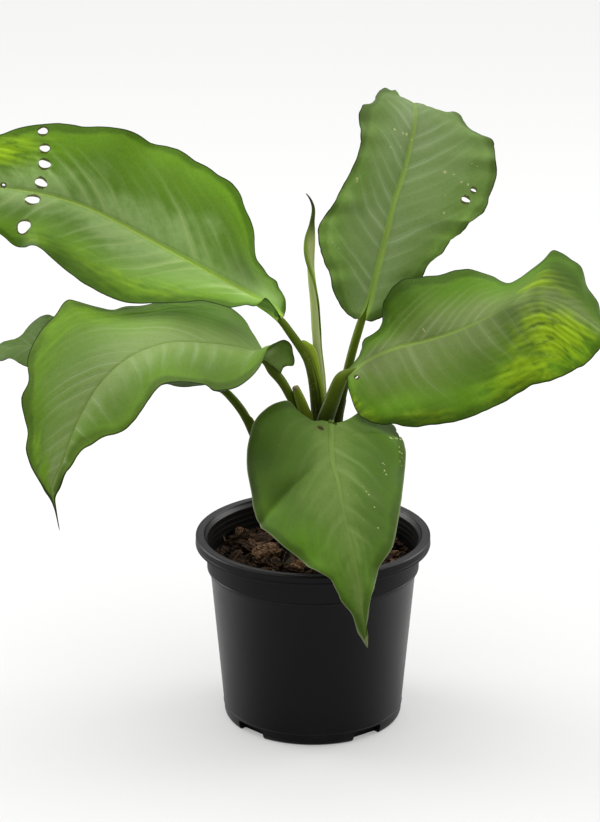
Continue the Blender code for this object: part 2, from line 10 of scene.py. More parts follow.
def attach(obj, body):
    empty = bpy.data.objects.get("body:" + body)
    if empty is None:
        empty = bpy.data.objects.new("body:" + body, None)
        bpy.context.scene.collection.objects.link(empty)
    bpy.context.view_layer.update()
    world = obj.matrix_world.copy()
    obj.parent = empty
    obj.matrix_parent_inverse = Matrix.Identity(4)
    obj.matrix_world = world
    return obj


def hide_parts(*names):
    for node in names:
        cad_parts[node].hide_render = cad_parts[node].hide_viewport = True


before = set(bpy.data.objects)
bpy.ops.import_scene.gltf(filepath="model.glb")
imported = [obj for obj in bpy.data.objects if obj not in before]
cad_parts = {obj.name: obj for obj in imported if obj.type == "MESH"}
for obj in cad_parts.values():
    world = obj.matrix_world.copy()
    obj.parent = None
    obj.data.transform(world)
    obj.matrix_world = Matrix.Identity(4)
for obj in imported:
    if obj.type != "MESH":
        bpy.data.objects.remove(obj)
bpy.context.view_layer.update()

# Nursery pot
# One thin shell of black polypropylene, injection moulded with a rolled rim, a collar with
# stepped rings inside it, a tapered wall and four drainage pockets round the foot.
MM = 0.001
RIM_RADIUS = 75.0
POT_HEIGHT = 123.5
LIP_HEIGHT = 7.2
LIP_WIDTH = 5.8
COLLAR_FOOT = 100.5
COLLAR_RADIUS = 68.3
WALL_TOP_RADIUS = 65.6
WALL_FOOT_RADIUS = 57.1
WALL_THICKNESS = 1.4
FLOOR_THICKNESS = 1.5
CHANNEL = (24.0, 47.0, 3.0)  # inner radius, outer radius and rise of the ring in the floor
POCKET_PLACES = (-44.7, 37.6, 135.0, 218.5)  # degrees round the axis from the front
POCKET_SIZE = (21.4, 6.8)  # width and height
POCKET_INNER_RADIUS = 50.5
POCKET_WALL = 1.5
DRAIN_PLACE = 2.3
DRAIN_RADIUS = 2.8


def linked(name, data):
    """An object of the scene."""
    made = bpy.data.objects.new(name, data)
    bpy.context.scene.collection.objects.link(made)
    return made


def skin(name, points, faces, slots=None):
    """A mesh object from points in millimetres; slots gives each face its material."""
    mesh = bpy.data.meshes.new(name)
    mesh.from_pydata((np.asarray(points, dtype=float) * MM).tolist(), [], faces)
    if slots is not None:
        mesh.polygons.foreach_set("material_index", slots)
    mesh.validate()
    mesh.shade_smooth()
    return linked(name, mesh)


def filleted(corners, steps=5):
    """A profile of (radius, z, fillet) corners with each corner rounded by its fillet."""
    flat = [np.array(c[:2], dtype=float) for c in corners]
    line = [flat[0]]
    for before, here, after, corner in zip(flat, flat[1:], flat[2:], corners[1:]):
        fillet = corner[2] if len(corner) > 2 else 0.0
        if fillet == 0.0:
            line.append(here)
            continue
        back = min(fillet, 0.48 * np.linalg.norm(before - here))
        on = min(fillet, 0.48 * np.linalg.norm(after - here))
        start = here + (before - here) * back / np.linalg.norm(before - here)
        end = here + (after - here) * on / np.linalg.norm(after - here)
        for step in range(steps + 1):
            f = step / steps
            line.append((1 - f) ** 2 * start + 2 * f * (1 - f) * here + f**2 * end)
    line.append(flat[-1])
    return line


def circle(radius, count):
    """Points evenly spaced round the axis."""
    turns = [math.tau * k / count for k in range(count)]
    return [(radius * math.cos(turn), radius * math.sin(turn)) for turn in turns]


def lathe(profile, segments):
    """Points and faces of a profile turned round Z, from the axis over the top to the axis."""
    points, faces, rings = [], [], []
    for radius, z in profile:
        if radius < 1e-6:
            rings.append([len(points)])
            points.append((0.0, 0.0, z))
            continue
        rings.append(list(range(len(points), len(points) + segments)))
        points += [(x, y, z) for x, y in circle(radius, segments)]
    for upper, lower in zip(rings, rings[1:]):
        for i in range(segments):
            j = (i + 1) % segments
            if len(upper) == 1:
                faces.append((upper[0], lower[i], lower[j]))
            elif len(lower) == 1:
                faces.append((upper[i], lower[0], upper[j]))
            else:
                faces.append((upper[i], lower[i], lower[j], upper[j]))
    return points, faces


def wall_radius(z):
    share = (z - 3.0) / (COLLAR_FOOT - 4.5)
    return WALL_FOOT_RADIUS + (WALL_TOP_RADIUS - WALL_FOOT_RADIUS) * share


def pot_profile():
    rim_inner = RIM_RADIUS - LIP_WIDTH
    lip_foot = POT_HEIGHT - LIP_HEIGHT
    inner, outer, rise = CHANNEL
    top = FLOOR_THICKNESS
    inside = [
        (0.0, top), (inner - 0.8, top, 0.8), (inner + 1.2, top + rise, 0.8),
        (outer - 0.4, top + rise, 0.8), (outer + 1.4, top, 0.8),
        (wall_radius(3.0) - WALL_THICKNESS - 0.4, top, 1.6),
        (wall_radius(20.0) - WALL_THICKNESS, 20.0),
        (wall_radius(97.5) - WALL_THICKNESS, 97.5, 1.0),
        (COLLAR_RADIUS - 2.6, COLLAR_FOOT, 1.0),
    ]
    for ring in range(5):
        z = 102.5 + 3.6 * ring
        radius = COLLAR_RADIUS - 2.35 + 0.3 * ring
        inside += [(radius, z, 0.3), (radius + 0.12, z + 2.6, 0.3), (radius + 0.28, z + 3.1, 0.3)]
    inside.append((rim_inner - 0.2, POT_HEIGHT - 1.8, 0.6))
    lip = [
        (rim_inner + 0.3, POT_HEIGHT - 0.2, 0.6),
        (RIM_RADIUS - 1.9, POT_HEIGHT, 0.5),
        (RIM_RADIUS - 0.1, POT_HEIGHT - 0.7, 1.2),
        (RIM_RADIUS - 0.25, lip_foot + 2.4, 0.5),
        (RIM_RADIUS, lip_foot + 1.7, 0.5),
        (RIM_RADIUS - 0.1, lip_foot - 0.1, 0.9),
        (RIM_RADIUS - 1.6, lip_foot - 0.1, 0.5),
        (RIM_RADIUS - 1.8, lip_foot + 1.4, 0.4),
        (COLLAR_RADIUS + 1.7, lip_foot + 0.4, 1.2),
    ]
    outside = [
        (COLLAR_RADIUS + 0.9, lip_foot - 3.6, 1.0),
        (COLLAR_RADIUS - 0.9, COLLAR_FOOT + 1.5, 0.4),
        (COLLAR_RADIUS - 0.55, COLLAR_FOOT + 0.9, 0.35),
        (COLLAR_RADIUS - 0.7, COLLAR_FOOT + 0.1, 0.4),
        (WALL_TOP_RADIUS + 0.2, COLLAR_FOOT - 0.6, 0.5),
        (wall_radius(90.0), 90.0),
        (wall_radius(50.0), 50.0),
        (wall_radius(9.2), 9.2, 0.3),
        (wall_radius(8.4) + 0.35, 8.4, 0.3),
        (wall_radius(7.6), 7.6, 0.3),
        (WALL_FOOT_RADIUS, 2.2, 1.5),
        (WALL_FOOT_RADIUS - 1.5, 0.0, 1.2),
        (outer, 0.0, 0.5), (outer - 1.6, rise, 0.5),
        (inner + 1.6, rise, 0.5), (inner, 0.0, 0.5),
        (3.0, 0.0, 0.2), (2.6, 0.35, 0.2), (0.0, 0.4),
    ]
    return filleted(inside + lip + outside)


def tool_of(bm, name):
    """Turns a mesh that is being built into the tool of a Boolean."""
    mesh = bpy.data.meshes.new(name)
    bm.to_mesh(mesh)
    bm.free()
    return bpy.data.objects.new(name, mesh)


def pocket_tool(name, start, end, width, low, high, corner=0.0):
    """At each drainage pocket a rounded block from radius start to end, or a pin if it has no corner."""
    bm = bmesh.new()
    for place in POCKET_PLACES:
        if corner:
            made = bmesh.ops.create_cube(bm, size=1.0)
        else:
            made = bmesh.ops.create_cone(bm, cap_ends=True, segments=24, radius1=0.5, radius2=0.5, depth=1.0)
        verts = made["verts"]
        bmesh.ops.scale(bm, vec=(end - start, width, high - low), verts=verts)
        bmesh.ops.translate(bm, vec=((start + end) / 2, 0, (low + high) / 2), verts=verts)
        bmesh.ops.transform(bm, matrix=Matrix.Rotation(math.radians(place - 90.0), 4, "Z"), verts=verts)
    if corner:
        bmesh.ops.bevel(bm, geom=bm.edges[:], offset=corner, segments=3, affect="EDGES", profile=0.5)
    bmesh.ops.scale(bm, vec=(MM, MM, MM), verts=bm.verts)
    return tool_of(bm, name)


def joined_or_cut(piece, tool, operation):
    """Applies one Boolean to piece and removes its tool."""
    bpy.context.scene.collection.objects.link(tool)
    change = piece.modifiers.new("shape", "BOOLEAN")
    change.operation = operation
    change.object = tool
    change.solver = "EXACT"
    settle(piece)
    bpy.data.objects.remove(tool)


def settle(piece):
    """Puts a piece's modifiers into its mesh."""
    graph = bpy.context.evaluated_depsgraph_get()
    mesh = bpy.data.meshes.new_from_object(piece.evaluated_get(graph))
    piece.modifiers.clear()
    piece.data = mesh


def coat(piece, *finishes, sharp=None):
    """Gives a piece its materials, and hard edges over an angle in degrees."""
    piece.data.materials.clear()
    for finish in finishes:
        piece.data.materials.append(finish)
    if sharp:
        piece.data.set_sharp_from_angle(angle=math.radians(sharp))


class Signal:
    """A value in the node tree that is being built; arithmetic on it adds Math nodes."""

    tree = None

    def __init__(self, socket):
        self.socket = socket

    def __add__(self, other):
        return calc("ADD", self, other)

    def __sub__(self, other):
        return calc("SUBTRACT", self, other)

    def __mul__(self, other):
        return calc("MULTIPLY", self, other)


def feed(socket, value):
    """Links a signal to an input, or sets a plain value there."""
    if isinstance(value, Signal):
        Signal.tree.links.new(value.socket, socket)
    else:
        socket.default_value = (*value[:3], 1.0) if socket.type == "RGBA" else value


def outputs_of(node):
    """A node's outputs as signals, by number and by name."""
    made = {}
    for number, socket in enumerate(node.outputs):
        made[number] = made[socket.name] = Signal(socket)
    return made


def put(kind, inputs=None, **settings):
    """Adds a shader node; its inputs are values or signals."""
    node = Signal.tree.nodes.new("ShaderNode" + kind)
    for key, value in settings.items():
        setattr(node, key, value)
    for key, value in (inputs or {}).items():
        feed(node.inputs[key], value)
    return outputs_of(node)


def calc(operation, a, b=0.0, clamp=False):
    return put("Math", {0: a, 1: b}, operation=operation, use_clamp=clamp)[0]


def parts_of(position):
    """The x, y and z of a position."""
    made = put("SeparateXYZ", {0: position})
    return made[0], made[1], made[2]


def eased(value, low, high, start=0.0, end=1.0):
    """A smooth step from start to end while value runs from low to high."""
    inputs = {"Value": value, "From Min": low, "From Max": high, "To Min": start, "To Max": end}
    return put("MapRange", inputs, interpolation_type="SMOOTHSTEP")[0]


def tinted(share, first, second):
    """Mixes two colours."""
    return put("Mix", {0: share, 6: first, 7: second}, data_type="RGBA")[2]


def cloudy(where, scale, detail=3.0, roughness=0.55):
    inputs = {"Vector": where, "Scale": scale, "Detail": detail, "Roughness": roughness}
    return put("TexNoise", inputs)[0]


def feed_shader(**inputs):
    """Values and signals for the Principled BSDF of the material that is being built."""
    for key, value in inputs.items():
        feed(Signal.tree.nodes["Principled BSDF"].inputs[key.replace("_", " ")], value)


def new_finish(name, **fixed):
    mat = bpy.data.materials.new(name)
    mat.use_nodes = True
    Signal.tree = mat.node_tree
    feed_shader(**fixed)
    return mat


def end_finish(mat, height, strength, distance, **made):
    """The material with its inputs linked, and bump from a height in millimetres."""
    bump = put("Bump", {"Height": height, "Strength": strength, "Distance": distance * MM})[0]
    feed_shader(Normal=bump, **made)
    return mat


def pot_plastic():
    """Satin black with faint clouds, scuffs down the wall, and dust at the foot and the rim."""
    mat = new_finish("black_polypropylene", IOR=1.5, Specular_IOR_Level=0.42, Coat_Roughness=0.22, Coat_IOR=1.5)
    place = put("TexCoord")["Object"]
    _, _, z = parts_of(place)
    clouds = cloudy(place, 22.0)
    stretched = put("Mapping", {"Vector": place, "Scale": (1.0, 1.0, 0.12)})[0]
    scuffs = eased(cloudy(stretched, 420.0, 4.0, 0.7), 0.60, 0.78)
    dust = eased(cloudy(place, 60.0, 5.0, 0.65), 0.52, 0.75)
    dust_low = eased(z, 0.0, 0.022, 0.55, 0.0)
    dust_high = eased(z, 0.108, 0.1235, 0.0, 0.35)
    dusty = calc("MULTIPLY", dust, dust_low + dust_high, clamp=True)
    colour = tinted(clouds, (0.0034, 0.0034, 0.0036), (0.0058, 0.0058, 0.0060))
    colour = tinted(scuffs * 0.30, colour, (0.022, 0.022, 0.023))
    colour = tinted(dusty * 0.35, colour, (0.045, 0.037, 0.029))
    rough = eased(clouds, 0.3, 0.7, 0.33, 0.42) + dusty * 0.3 + scuffs * 0.08
    aside = put("LayerWeight", {"Blend": 0.5})["Facing"]
    polish = eased(aside, 0.10, 0.55) * eased(z, 0.103, 0.097)
    grain = cloudy(place, 1400.0, 2.0) * 0.6 + clouds
    return end_finish(mat, grain, 0.25, 0.12, Base_Color=colour, Coat_Weight=polish, Roughness=rough)


pot = skin("nursery_pot", *lathe(pot_profile(), 168))
width, height = POCKET_SIZE
inner = POCKET_INNER_RADIUS
hole = inner + DRAIN_PLACE
pin = DRAIN_RADIUS
wall = POCKET_WALL
boxes = pocket_tool("pocket_boxes", inner - wall, 55.0, width + 2.0 * wall, 0.8, height + wall, 0.7)
joined_or_cut(pot, boxes, "UNION")
joined_or_cut(pot, pocket_tool("pocket_rooms", inner, 66.0, width, -6.0, height, 0.9), "DIFFERENCE")
joined_or_cut(pot, pocket_tool("drain_pins", hole - pin, hole + pin, 2.0 * pin, 3.2, 11.2), "DIFFERENCE")
pot.data.shade_smooth()
coat(pot, pot_plastic(), sharp=38.0)
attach(pot, "root")
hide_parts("pot")

# Bark mix
# Composted bark with coarse chips, crumbs, a few white grains and thin feeder roots, poured
# in loose and settled a little below the rim.
MIX_TOP = 105.0
MIX_EDGE = 65.7
PIT_RADIUS = 18.8
WALL_PLAY = 2.2
CHIP_ROUGHNESS = 0.30
random.seed(11)


def mix_height(x, y):
    """The same low mounds as the packed soil has, with the unevenness of loose bark."""
    wave = math.sin(0.16 * x + 0.7) * math.cos(0.13 * y - 0.4) + 0.6 * math.sin(0.31 * x - 0.22 * y)
    mound = 1.6 * wave * (1.0 - (math.hypot(x, y) / RIM_RADIUS) ** 2)
    rough = noise.fractal(Vector((x, y, 3.0)) * 0.17, 0.9, 2.0, 4)
    return MIX_TOP - 1.4 + mound + 1.5 * rough


def mix_bed():
    """The body of the mix: a rough top, closed down the wall and over the pot's floor."""
    points, faces = [], []
    rings, turns, pit = 84, 240, PIT_RADIUS - 6.0
    top, low = 97.0, 11.0
    stops = [(pit + (MIX_EDGE - PIT_RADIUS + 6.0) * i / (rings - 1), None) for i in range(rings)]
    stops += [(wall_radius(top) - WALL_PLAY, top), (wall_radius(low) - WALL_PLAY, low), (pit, low)]
    for radius, z in stops:
        points += [(x, y, mix_height(x, y) if z is None else z) for x, y in circle(radius, turns)]
    for i in range(len(stops)):
        a, b = i * turns, ((i + 1) % len(stops)) * turns
        for k in range(turns):
            n = (k + 1) % turns
            faces.append((a + k, b + k, b + n, a + n))
    return skin("bark_mix_bed", points, faces)


def lump(heap, centre, size, turn, cuts, rough, tone):
    """Adds one closed splintered lump to a heap: a box with uneven sides, broken ends and ridges."""
    bm = bmesh.new()
    bmesh.ops.create_cube(bm, size=2.0)
    bmesh.ops.subdivide_edges(bm, edges=bm.edges[:], cuts=cuts, use_grid_fill=True)
    start = len(heap["points"])
    seed = Vector(centre) * 0.61
    for vert in bm.verts:
        x, y, z = vert.co
        corner = sorted((abs(x), abs(y), abs(z)))[1]
        broken = noise.noise(Vector((y * 2.6, z * 1.2, x)) + seed)
        edge = noise.noise(Vector((x * 1.5, z * 0.7, y)) + seed * 1.3)
        ridge = noise.noise(Vector((x * 0.7, y * 3.6, z)) + seed * 1.7)
        x *= 1.0 + rough * 1.6 * broken * abs(x) ** 3 - 0.10 * abs(y) * abs(z)
        y *= 1.0 + rough * 1.3 * edge - 0.22 * abs(x) ** 4
        z *= 1.0 + rough * 1.2 * ridge - 0.25 * max(abs(x), abs(y)) ** 3
        z += rough * 0.8 * (ridge + noise.noise(Vector((x * 0.9, y, 2.0)) + seed))
        co = turn @ Vector((x * size[0], y * size[1], z * size[2])) / 2.0
        heap["points"].append(tuple(co + Vector(centre)))
        heap["tone"].append(tone)
        # Paler corners and edges: partly real wear, partly a painted highlight where the edges catch the light.
        heap["worn"].append(max(0.0, (corner - 0.62) / 0.38) * (0.6 + 0.8 * ridge))
    heap["faces"] += [tuple(start + v.index for v in face.verts) for face in bm.faces]
    bm.free()


def new_heap():
    return {"points": [], "faces": [], "tone": [], "worn": []}


def heap_piece(name, heap):
    piece = skin(name, heap["points"], heap["faces"])
    mark(piece, tone=heap["tone"], worn=heap["worn"])
    return piece


def mark(piece, **values):
    """Stores a number for each point of a piece, for its material to read."""
    for key, value in values.items():
        layer = piece.data.attributes.new(key, "FLOAT", "POINT")
        layer.data.foreach_set("value", np.asarray(value, dtype=np.float32))


def spot_in_mix(nearest=PIT_RADIUS + 1.5, farthest=MIX_EDGE - 2.0):
    radius = math.sqrt(random.uniform(nearest**2, farthest**2))
    turn = random.uniform(0.0, math.tau)
    return radius * math.cos(turn), radius * math.sin(turn)


def lie(heading, lean):
    """A turn about Z with a random lean."""
    tilt = Matrix.Rotation(random.uniform(-lean, lean), 3, "X") @ Matrix.Rotation(random.uniform(-lean, lean), 3, "Y")
    return Matrix.Rotation(heading, 3, "Z") @ tilt


def bark_chips(count=240):
    """Coarse chips lying at all angles on the bed; the larger ones stand where the photograph has them."""
    heap = new_heap()
    # Place, length, breadth, heading and tone of each larger chip.
    chosen = [(-30, 3, 17, 10, 0.45, 0.95), (-35, 31, 20, 7, 0.15, 0.45), (-48, 40, 7, 5, 1.2, 0.9),
              (-9, -20, 9, 7, 0.8, 1.0), (52, 1, 6, 4, 0.3, 1.0), (-50, -2, 11, 5, 1.0, 0.65),
              (-42, 16, 14, 5, 2.4, 0.5), (49, 16, 10, 5, 1.9, 0.7), (-23, -17, 9, 4, 2.2, 0.3),
              (-58, 9, 8, 4, 0.9, 0.6), (44, 34, 12, 5, 0.6, 0.5), (28, -48, 15, 7, 1.9, 0.8),
              (-20, -47, 16, 8, 0.5, 0.9), (10, 50, 15, 7, 2.6, 0.6), (-8, 38, 12, 6, 1.1, 0.8)]
    for x, y, length, breadth, heading, tone in chosen:
        where = (x, y, mix_height(x, y) + 3.4)
        turn = Matrix.Rotation(0.5, 3, "X") @ lie(heading, 0.2)
        lump(heap, where, (length, breadth, 4.6), turn, 5, CHIP_ROUGHNESS, tone)
    for _ in range(count):
        x, y = spot_in_mix(farthest=MIX_EDGE - 6.5)
        length = random.uniform(6.0, 17.0)
        breadth = length * random.uniform(0.22, 0.5)
        thick = random.uniform(1.8, 4.6)
        where = (x, y, mix_height(x, y) + random.uniform(-0.6, 2.4))
        turn = lie(random.uniform(0, math.pi), 0.7)
        lump(heap, where, (length, breadth, thick), turn, 3, CHIP_ROUGHNESS, 0.6 * random.random() ** 2.4)
    return heap_piece("bark_chips", heap)


def crumbs(name, count, low, high, lift):
    heap = new_heap()
    for _ in range(count):
        x, y = spot_in_mix()
        size = random.uniform(low, high)
        where = (x, y, mix_height(x, y) + size * lift)
        shape = (size * random.uniform(0.9, 1.8), size, size * 0.8)
        lump(heap, where, shape, lie(random.uniform(0, math.pi), 0.8), 1, 0.4, random.random() ** 3)
    return heap_piece(name, heap)


def smooth_curve(stops, count):
    """Points along a Catmull-Rom curve through the stops, with its bends eased."""
    stops = np.asarray(stops, dtype=float)
    padded = np.vstack([2 * stops[0] - stops[1], stops, 2 * stops[-1] - stops[-2]])
    line = []
    for place in np.linspace(0.0, len(stops) - 1.0, count):
        i = min(int(place), len(stops) - 2)
        f = place - i
        a, b, c, d = padded[i:i + 4]
        line.append(0.5 * (2 * b + (c - a) * f + (2 * a - 5 * b + 4 * c - d) * f**2
                           + (3 * b - a - 3 * c + d) * f**3))
    return np.array(line)


def unit(vectors):
    """The same directions, each of length 1."""
    return vectors / np.linalg.norm(vectors, axis=-1, keepdims=True)


def rings_along(path, first_side):
    """For each point of a path: its direction and two sides that don't twist."""
    ahead = unit(np.gradient(path, axis=0))
    side = np.array(first_side, dtype=float)
    sides = []
    for along in ahead:
        side = unit(side - along * np.dot(side, along))
        sides.append(side)
    sides = np.array(sides)
    return ahead, sides, np.cross(ahead, sides)


def tube(path, radii, around, points, faces, first_side=(0.0, -1.0, 0.0)):
    """Adds a closed tube with pinched round ends along a path."""
    _, side, other = rings_along(path, first_side)
    start = len(points)
    count = len(path)
    for k in range(count):
        for i in range(around):
            turn = math.tau * i / around
            offset = side[k] * math.cos(turn) + other[k] * math.sin(turn)
            points.append(tuple(path[k] + offset * radii[k]))
    for k in range(count - 1):
        a, b = start + k * around, start + (k + 1) * around
        for i in range(around):
            j = (i + 1) % around
            faces.append((a + i, a + j, b + j, b + i))
    faces.append(tuple(reversed(range(start, start + around))))
    faces.append(tuple(range(start + (count - 1) * around, start + count * around)))


def feeder_roots(count=34):
    points, faces = [], []
    steps, around = 26, 7
    drawn = [[(-20, -20, 0.5), (-19, -18, 5.0), (-18, -15, 9.0), (-17, -12, 11.0)],
             [(-57, 30, 0.5), (-58, 34, 4.0), (-58, 38, 7.0), (-56, 42, 8.0)],
             [(-44, 6, 0.5), (-40, 1, 3.5), (-34, -6, 4.5), (-30, -12, 1.5)]]
    for _ in range(count):
        x, y = spot_in_mix(farthest=MIX_EDGE - 9.0)
        heading = random.uniform(0.0, math.tau)
        route = []
        for _ in range(5):
            route.append((x, y, random.uniform(0.1, 2.2)))
            heading += random.uniform(-0.9, 0.9)
            x += 5.0 * math.cos(heading)
            y += 5.0 * math.sin(heading)
            reach = math.hypot(x, y) / (MIX_EDGE - 3.0)
            x, y = (x / reach, y / reach) if reach > 1.0 else (x, y)
        drawn.append(route)
    for route in drawn:
        lifted = [(x, y, mix_height(x, y) + rise) for x, y, rise in route]
        thick = random.uniform(0.22, 0.5)
        radii = thick * (1.0 - 0.6 * np.linspace(0.0, 1.0, steps))
        tube(smooth_curve(lifted, steps), radii, around, points, faces)
    return skin("feeder_roots", points, faces)


def read(name):
    """A number stored on a piece's points."""
    return put("Attribute", attribute_name=name)["Fac"]


def scaled(colour, factor):
    """Makes a colour lighter or darker."""
    return put("VectorMath", {0: colour, "Scale": factor}, operation="SCALE")[0]


def new_group(name, colours=(), values=(), results=("Colour", "Roughness", "Height")):
    """Starts a shader node group with named sockets; returns its inputs."""
    tree = Signal.tree = bpy.data.node_groups.new(name, "ShaderNodeTree")
    for key in (*colours, *values, *results):
        kind = "NodeSocketColor" if key in (*colours, "Colour") else "NodeSocketFloat"
        tree.interface.new_socket(name=key, in_out="OUTPUT" if key in results else "INPUT", socket_type=kind)
    return outputs_of(tree.nodes.new("NodeGroupInput"))


def end_group(**results):
    """Links the group's results; returns its tree."""
    out = Signal.tree.nodes.new("NodeGroupOutput")
    for key, value in results.items():
        feed(out.inputs[key], value)
    return Signal.tree


def use_group(group, **inputs):
    """Adds a group to the tree, with its inputs set; returns its outputs."""
    node = Signal.tree.nodes.new("ShaderNodeGroup")
    node.node_tree = group
    for key, value in inputs.items():
        feed(node.inputs[key.replace("_", " ")], value)
    return outputs_of(node)


def build_woody_grain():
    """Rough plant matter: dark in its hollows, streaked along its fibres, paler where it is worn and where its edges
    catch the light (a painted highlight), and darker at the left by a painted shadow of the rim.
    """
    given = new_group("woody_grain", ("Dark", "Mid", "Light"), ("Scale", "Shine", "Tone", "Worn", "Damp"))
    dark, mid, light, scale, shine = (given[key] for key in ("Dark", "Mid", "Light", "Scale", "Shine"))
    place = put("TexCoord")["Object"]
    broad = cloudy(place, scale * 60.0, 4.0)
    fibre = put("Mapping", {"Vector": place, "Scale": (1.0, 3.2, 3.2)})[0]
    fine = cloudy(fibre, scale * 420.0, 5.0, 0.7)
    colour = tinted(eased(broad, 0.35, 0.68), dark, mid)
    pale = eased(fine, 0.42, 0.62) * eased(given["Tone"], 0.25, 1.0)
    # Paler at the corners and edges of chips and crumbs: partly real wear, partly a painted highlight.
    worn = given["Worn"] * eased(fine, 0.38, 0.58)
    pale = calc("MAXIMUM", pale, worn * 0.75, clamp=True)
    colour = tinted(pale, colour, light)
    colour = tinted(eased(fine, 0.46, 0.30), colour, dark)
    x, _, _ = parts_of(place)
    # Painted shadow of the rim: the colour is darker towards the left, at negative x.
    colour = scaled(colour, eased(x, -0.058, -0.032, given["Damp"], 1.0))
    rough = eased(fine, 0.3, 0.7, shine, shine + 0.25)
    return end_group(Colour=colour, Roughness=rough, Height=fine + broad)


woody_grain = build_woody_grain()


def woody(name, dark, mid, light, scale, shine, chipped=False):
    """Woody grain in its own colours; chips and crumbs have a tone, worn edges that are partly a painted highlight,
    and a painted shadow of the rim darkening their left side.
    """
    mat = new_finish(name, IOR=1.4, Specular_IOR_Level=0.3)
    # Only chips and crumbs take the painted rim shadow, down to 0.42 of their colour at the left.
    tone, worn, rim_shadow = (read("tone"), read("worn"), 0.42) if chipped else (1.0, 0.0, 1.0)
    made = use_group(woody_grain, Dark=dark, Mid=mid, Light=light, Scale=scale, Shine=shine,
                     Tone=tone, Worn=worn, Damp=rim_shadow)
    return end_finish(mat, made["Height"], 1.0, 0.9, Base_Color=made["Colour"], Roughness=made["Roughness"])


mix_bed_piece = mix_bed()
coat(mix_bed_piece, woody("fine_dark_bark", (0.0008, 0.0004, 0.0003), (0.0040, 0.0019, 0.0011),
                          (0.014, 0.0065, 0.0035), 2.0, 0.7))
chips = bark_chips()
coat(chips, woody("chip_bark", (0.0025, 0.0010, 0.0005), (0.030, 0.0115, 0.0045), (0.50, 0.28, 0.14), 1.2, 0.6, True),
     sharp=42.0)
dark_crumbs = crumbs("bark_crumbs", 1500, 0.9, 3.0, 0.15)
coat(dark_crumbs, woody("crumb_bark", (0.002, 0.0009, 0.0005), (0.020, 0.008, 0.0035), (0.24, 0.12, 0.06),
                        2.0, 0.65, True))
grains = crumbs("white_grains", 34, 0.8, 1.9, 0.5)
coat(grains, woody("chalky_grain", (0.42, 0.40, 0.36), (0.62, 0.60, 0.56), (0.80, 0.79, 0.76), 3.0, 0.75))
roots = feeder_roots()
coat(roots, woody("root_skin", (0.10, 0.062, 0.032), (0.23, 0.16, 0.09), (0.42, 0.33, 0.21), 3.0, 0.5))
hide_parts("soil")
for piece in (mix_bed_piece, chips, dark_crumbs, grains, roots):
    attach(piece, "root")

# Rootstock
# The short thick crown that every stalk grows from, ringed by the scars and the dry brown
# scales of older leaf bases, and sunk in the mix.
CROWN_TOP = 109.0
GOLDEN_TURN = 0.618


def crown():
    profile = filleted([(0.0, CROWN_TOP - 0.6), (9.0, CROWN_TOP - 0.8, 3.0), (16.0, CROWN_TOP - 3.0, 3.0),
                        (18.3, 101.0, 3.0), (15.0, 90.0, 3.0), (0.0, 89.0)], 8)
    points, faces = lathe(profile, 96)
    moved = []
    for x, y, z in points:
        bulge = noise.fractal(Vector((x, y, z)) * 0.11, 0.8, 2.0, 4)
        ringed = 0.5 * math.sin(z * 2.1 + 0.4 * math.atan2(y, x))
        spread = 1.0 + (0.05 * bulge + 0.012 * ringed) * min(1.0, math.hypot(x, y) / 8.0)
        moved.append((x * spread, y * spread, z + 0.7 * bulge))
    return skin("rootstock_crown", moved, faces)


def closed_sheet(rows, columns):
    """Faces of a thin sheet whose points are an upper and then an under grid: upper, under and rim."""
    size = rows * columns
    grid = np.arange(size).reshape(rows, columns)
    a, b, c, d = (part.ravel() for part in (grid[:-1, :-1], grid[1:, :-1], grid[1:, 1:], grid[:-1, 1:]))
    rim = np.concatenate([grid[0], grid[1:, -1], grid[-1, -2::-1], grid[-2:0:-1, 0]])
    after = np.roll(rim, -1)
    return [np.stack(corners, axis=1).tolist() for corners in (
        (a, d, c, b), (a + size, b + size, c + size, d + size), (rim, rim + size, after + size, after))]


def dry_scales(count=11):
    """Pointed papery scales that stand round the crown."""
    points, faces = [], []
    rows, columns = 12, 9
    for scale in range(count):
        turn = math.tau * (scale * GOLDEN_TURN)
        radius = random.uniform(12.0, 17.5)
        tall = random.uniform(7.0, 13.0)
        broad = random.uniform(3.0, 5.0)
        lean = random.uniform(0.1, 0.45)
        start = len(points)
        out = np.array((math.cos(turn), math.sin(turn), 0.0))
        side = np.array((-math.sin(turn), math.cos(turn), 0.0))
        for layer in (0.0, 0.3):
            for i in range(rows):
                f = i / (rows - 1)
                half = broad * (1.0 - f) ** 0.7 + 0.12
                for j in range(columns):
                    g = 2.0 * j / (columns - 1) - 1.0
                    curl = radius + layer + lean * tall * f**2 - 1.6 * g**2 * (1.0 - 0.4 * f)
                    z = CROWN_TOP - 4.5 + tall * f + 0.5 * math.sin(5.0 * g + scale) * f
                    points.append(tuple(out * curl + side * half * g + np.array((0, 0, z))))
        for part in closed_sheet(rows, columns):
            faces += [[start + corner for corner in reversed(face)] for face in part]
    return skin("dry_scales", points, faces)


crown_piece = crown()
coat(crown_piece, woody("crown_skin", (0.018, 0.011, 0.006), (0.075, 0.052, 0.026), (0.14, 0.12, 0.055), 1.0, 0.6))
scales = dry_scales()
coat(scales, woody("dry_scale", (0.05, 0.028, 0.013), (0.15, 0.095, 0.048), (0.30, 0.21, 0.12), 1.0, 0.6))
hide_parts("rootstock")
for piece in (crown_piece, scales):
    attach(piece, "root")

# Leaf stalks
# Each leaf stands on a firm round petiole that bends at a smooth knee and runs out under the
# midrib. A thin winged sheath clasps it from the rootstock up and ends in two free tips.
STALK_FOOT = 100.0
SHEATH_THICKNESS = 0.38
SHEATH_WRAP = 118.0
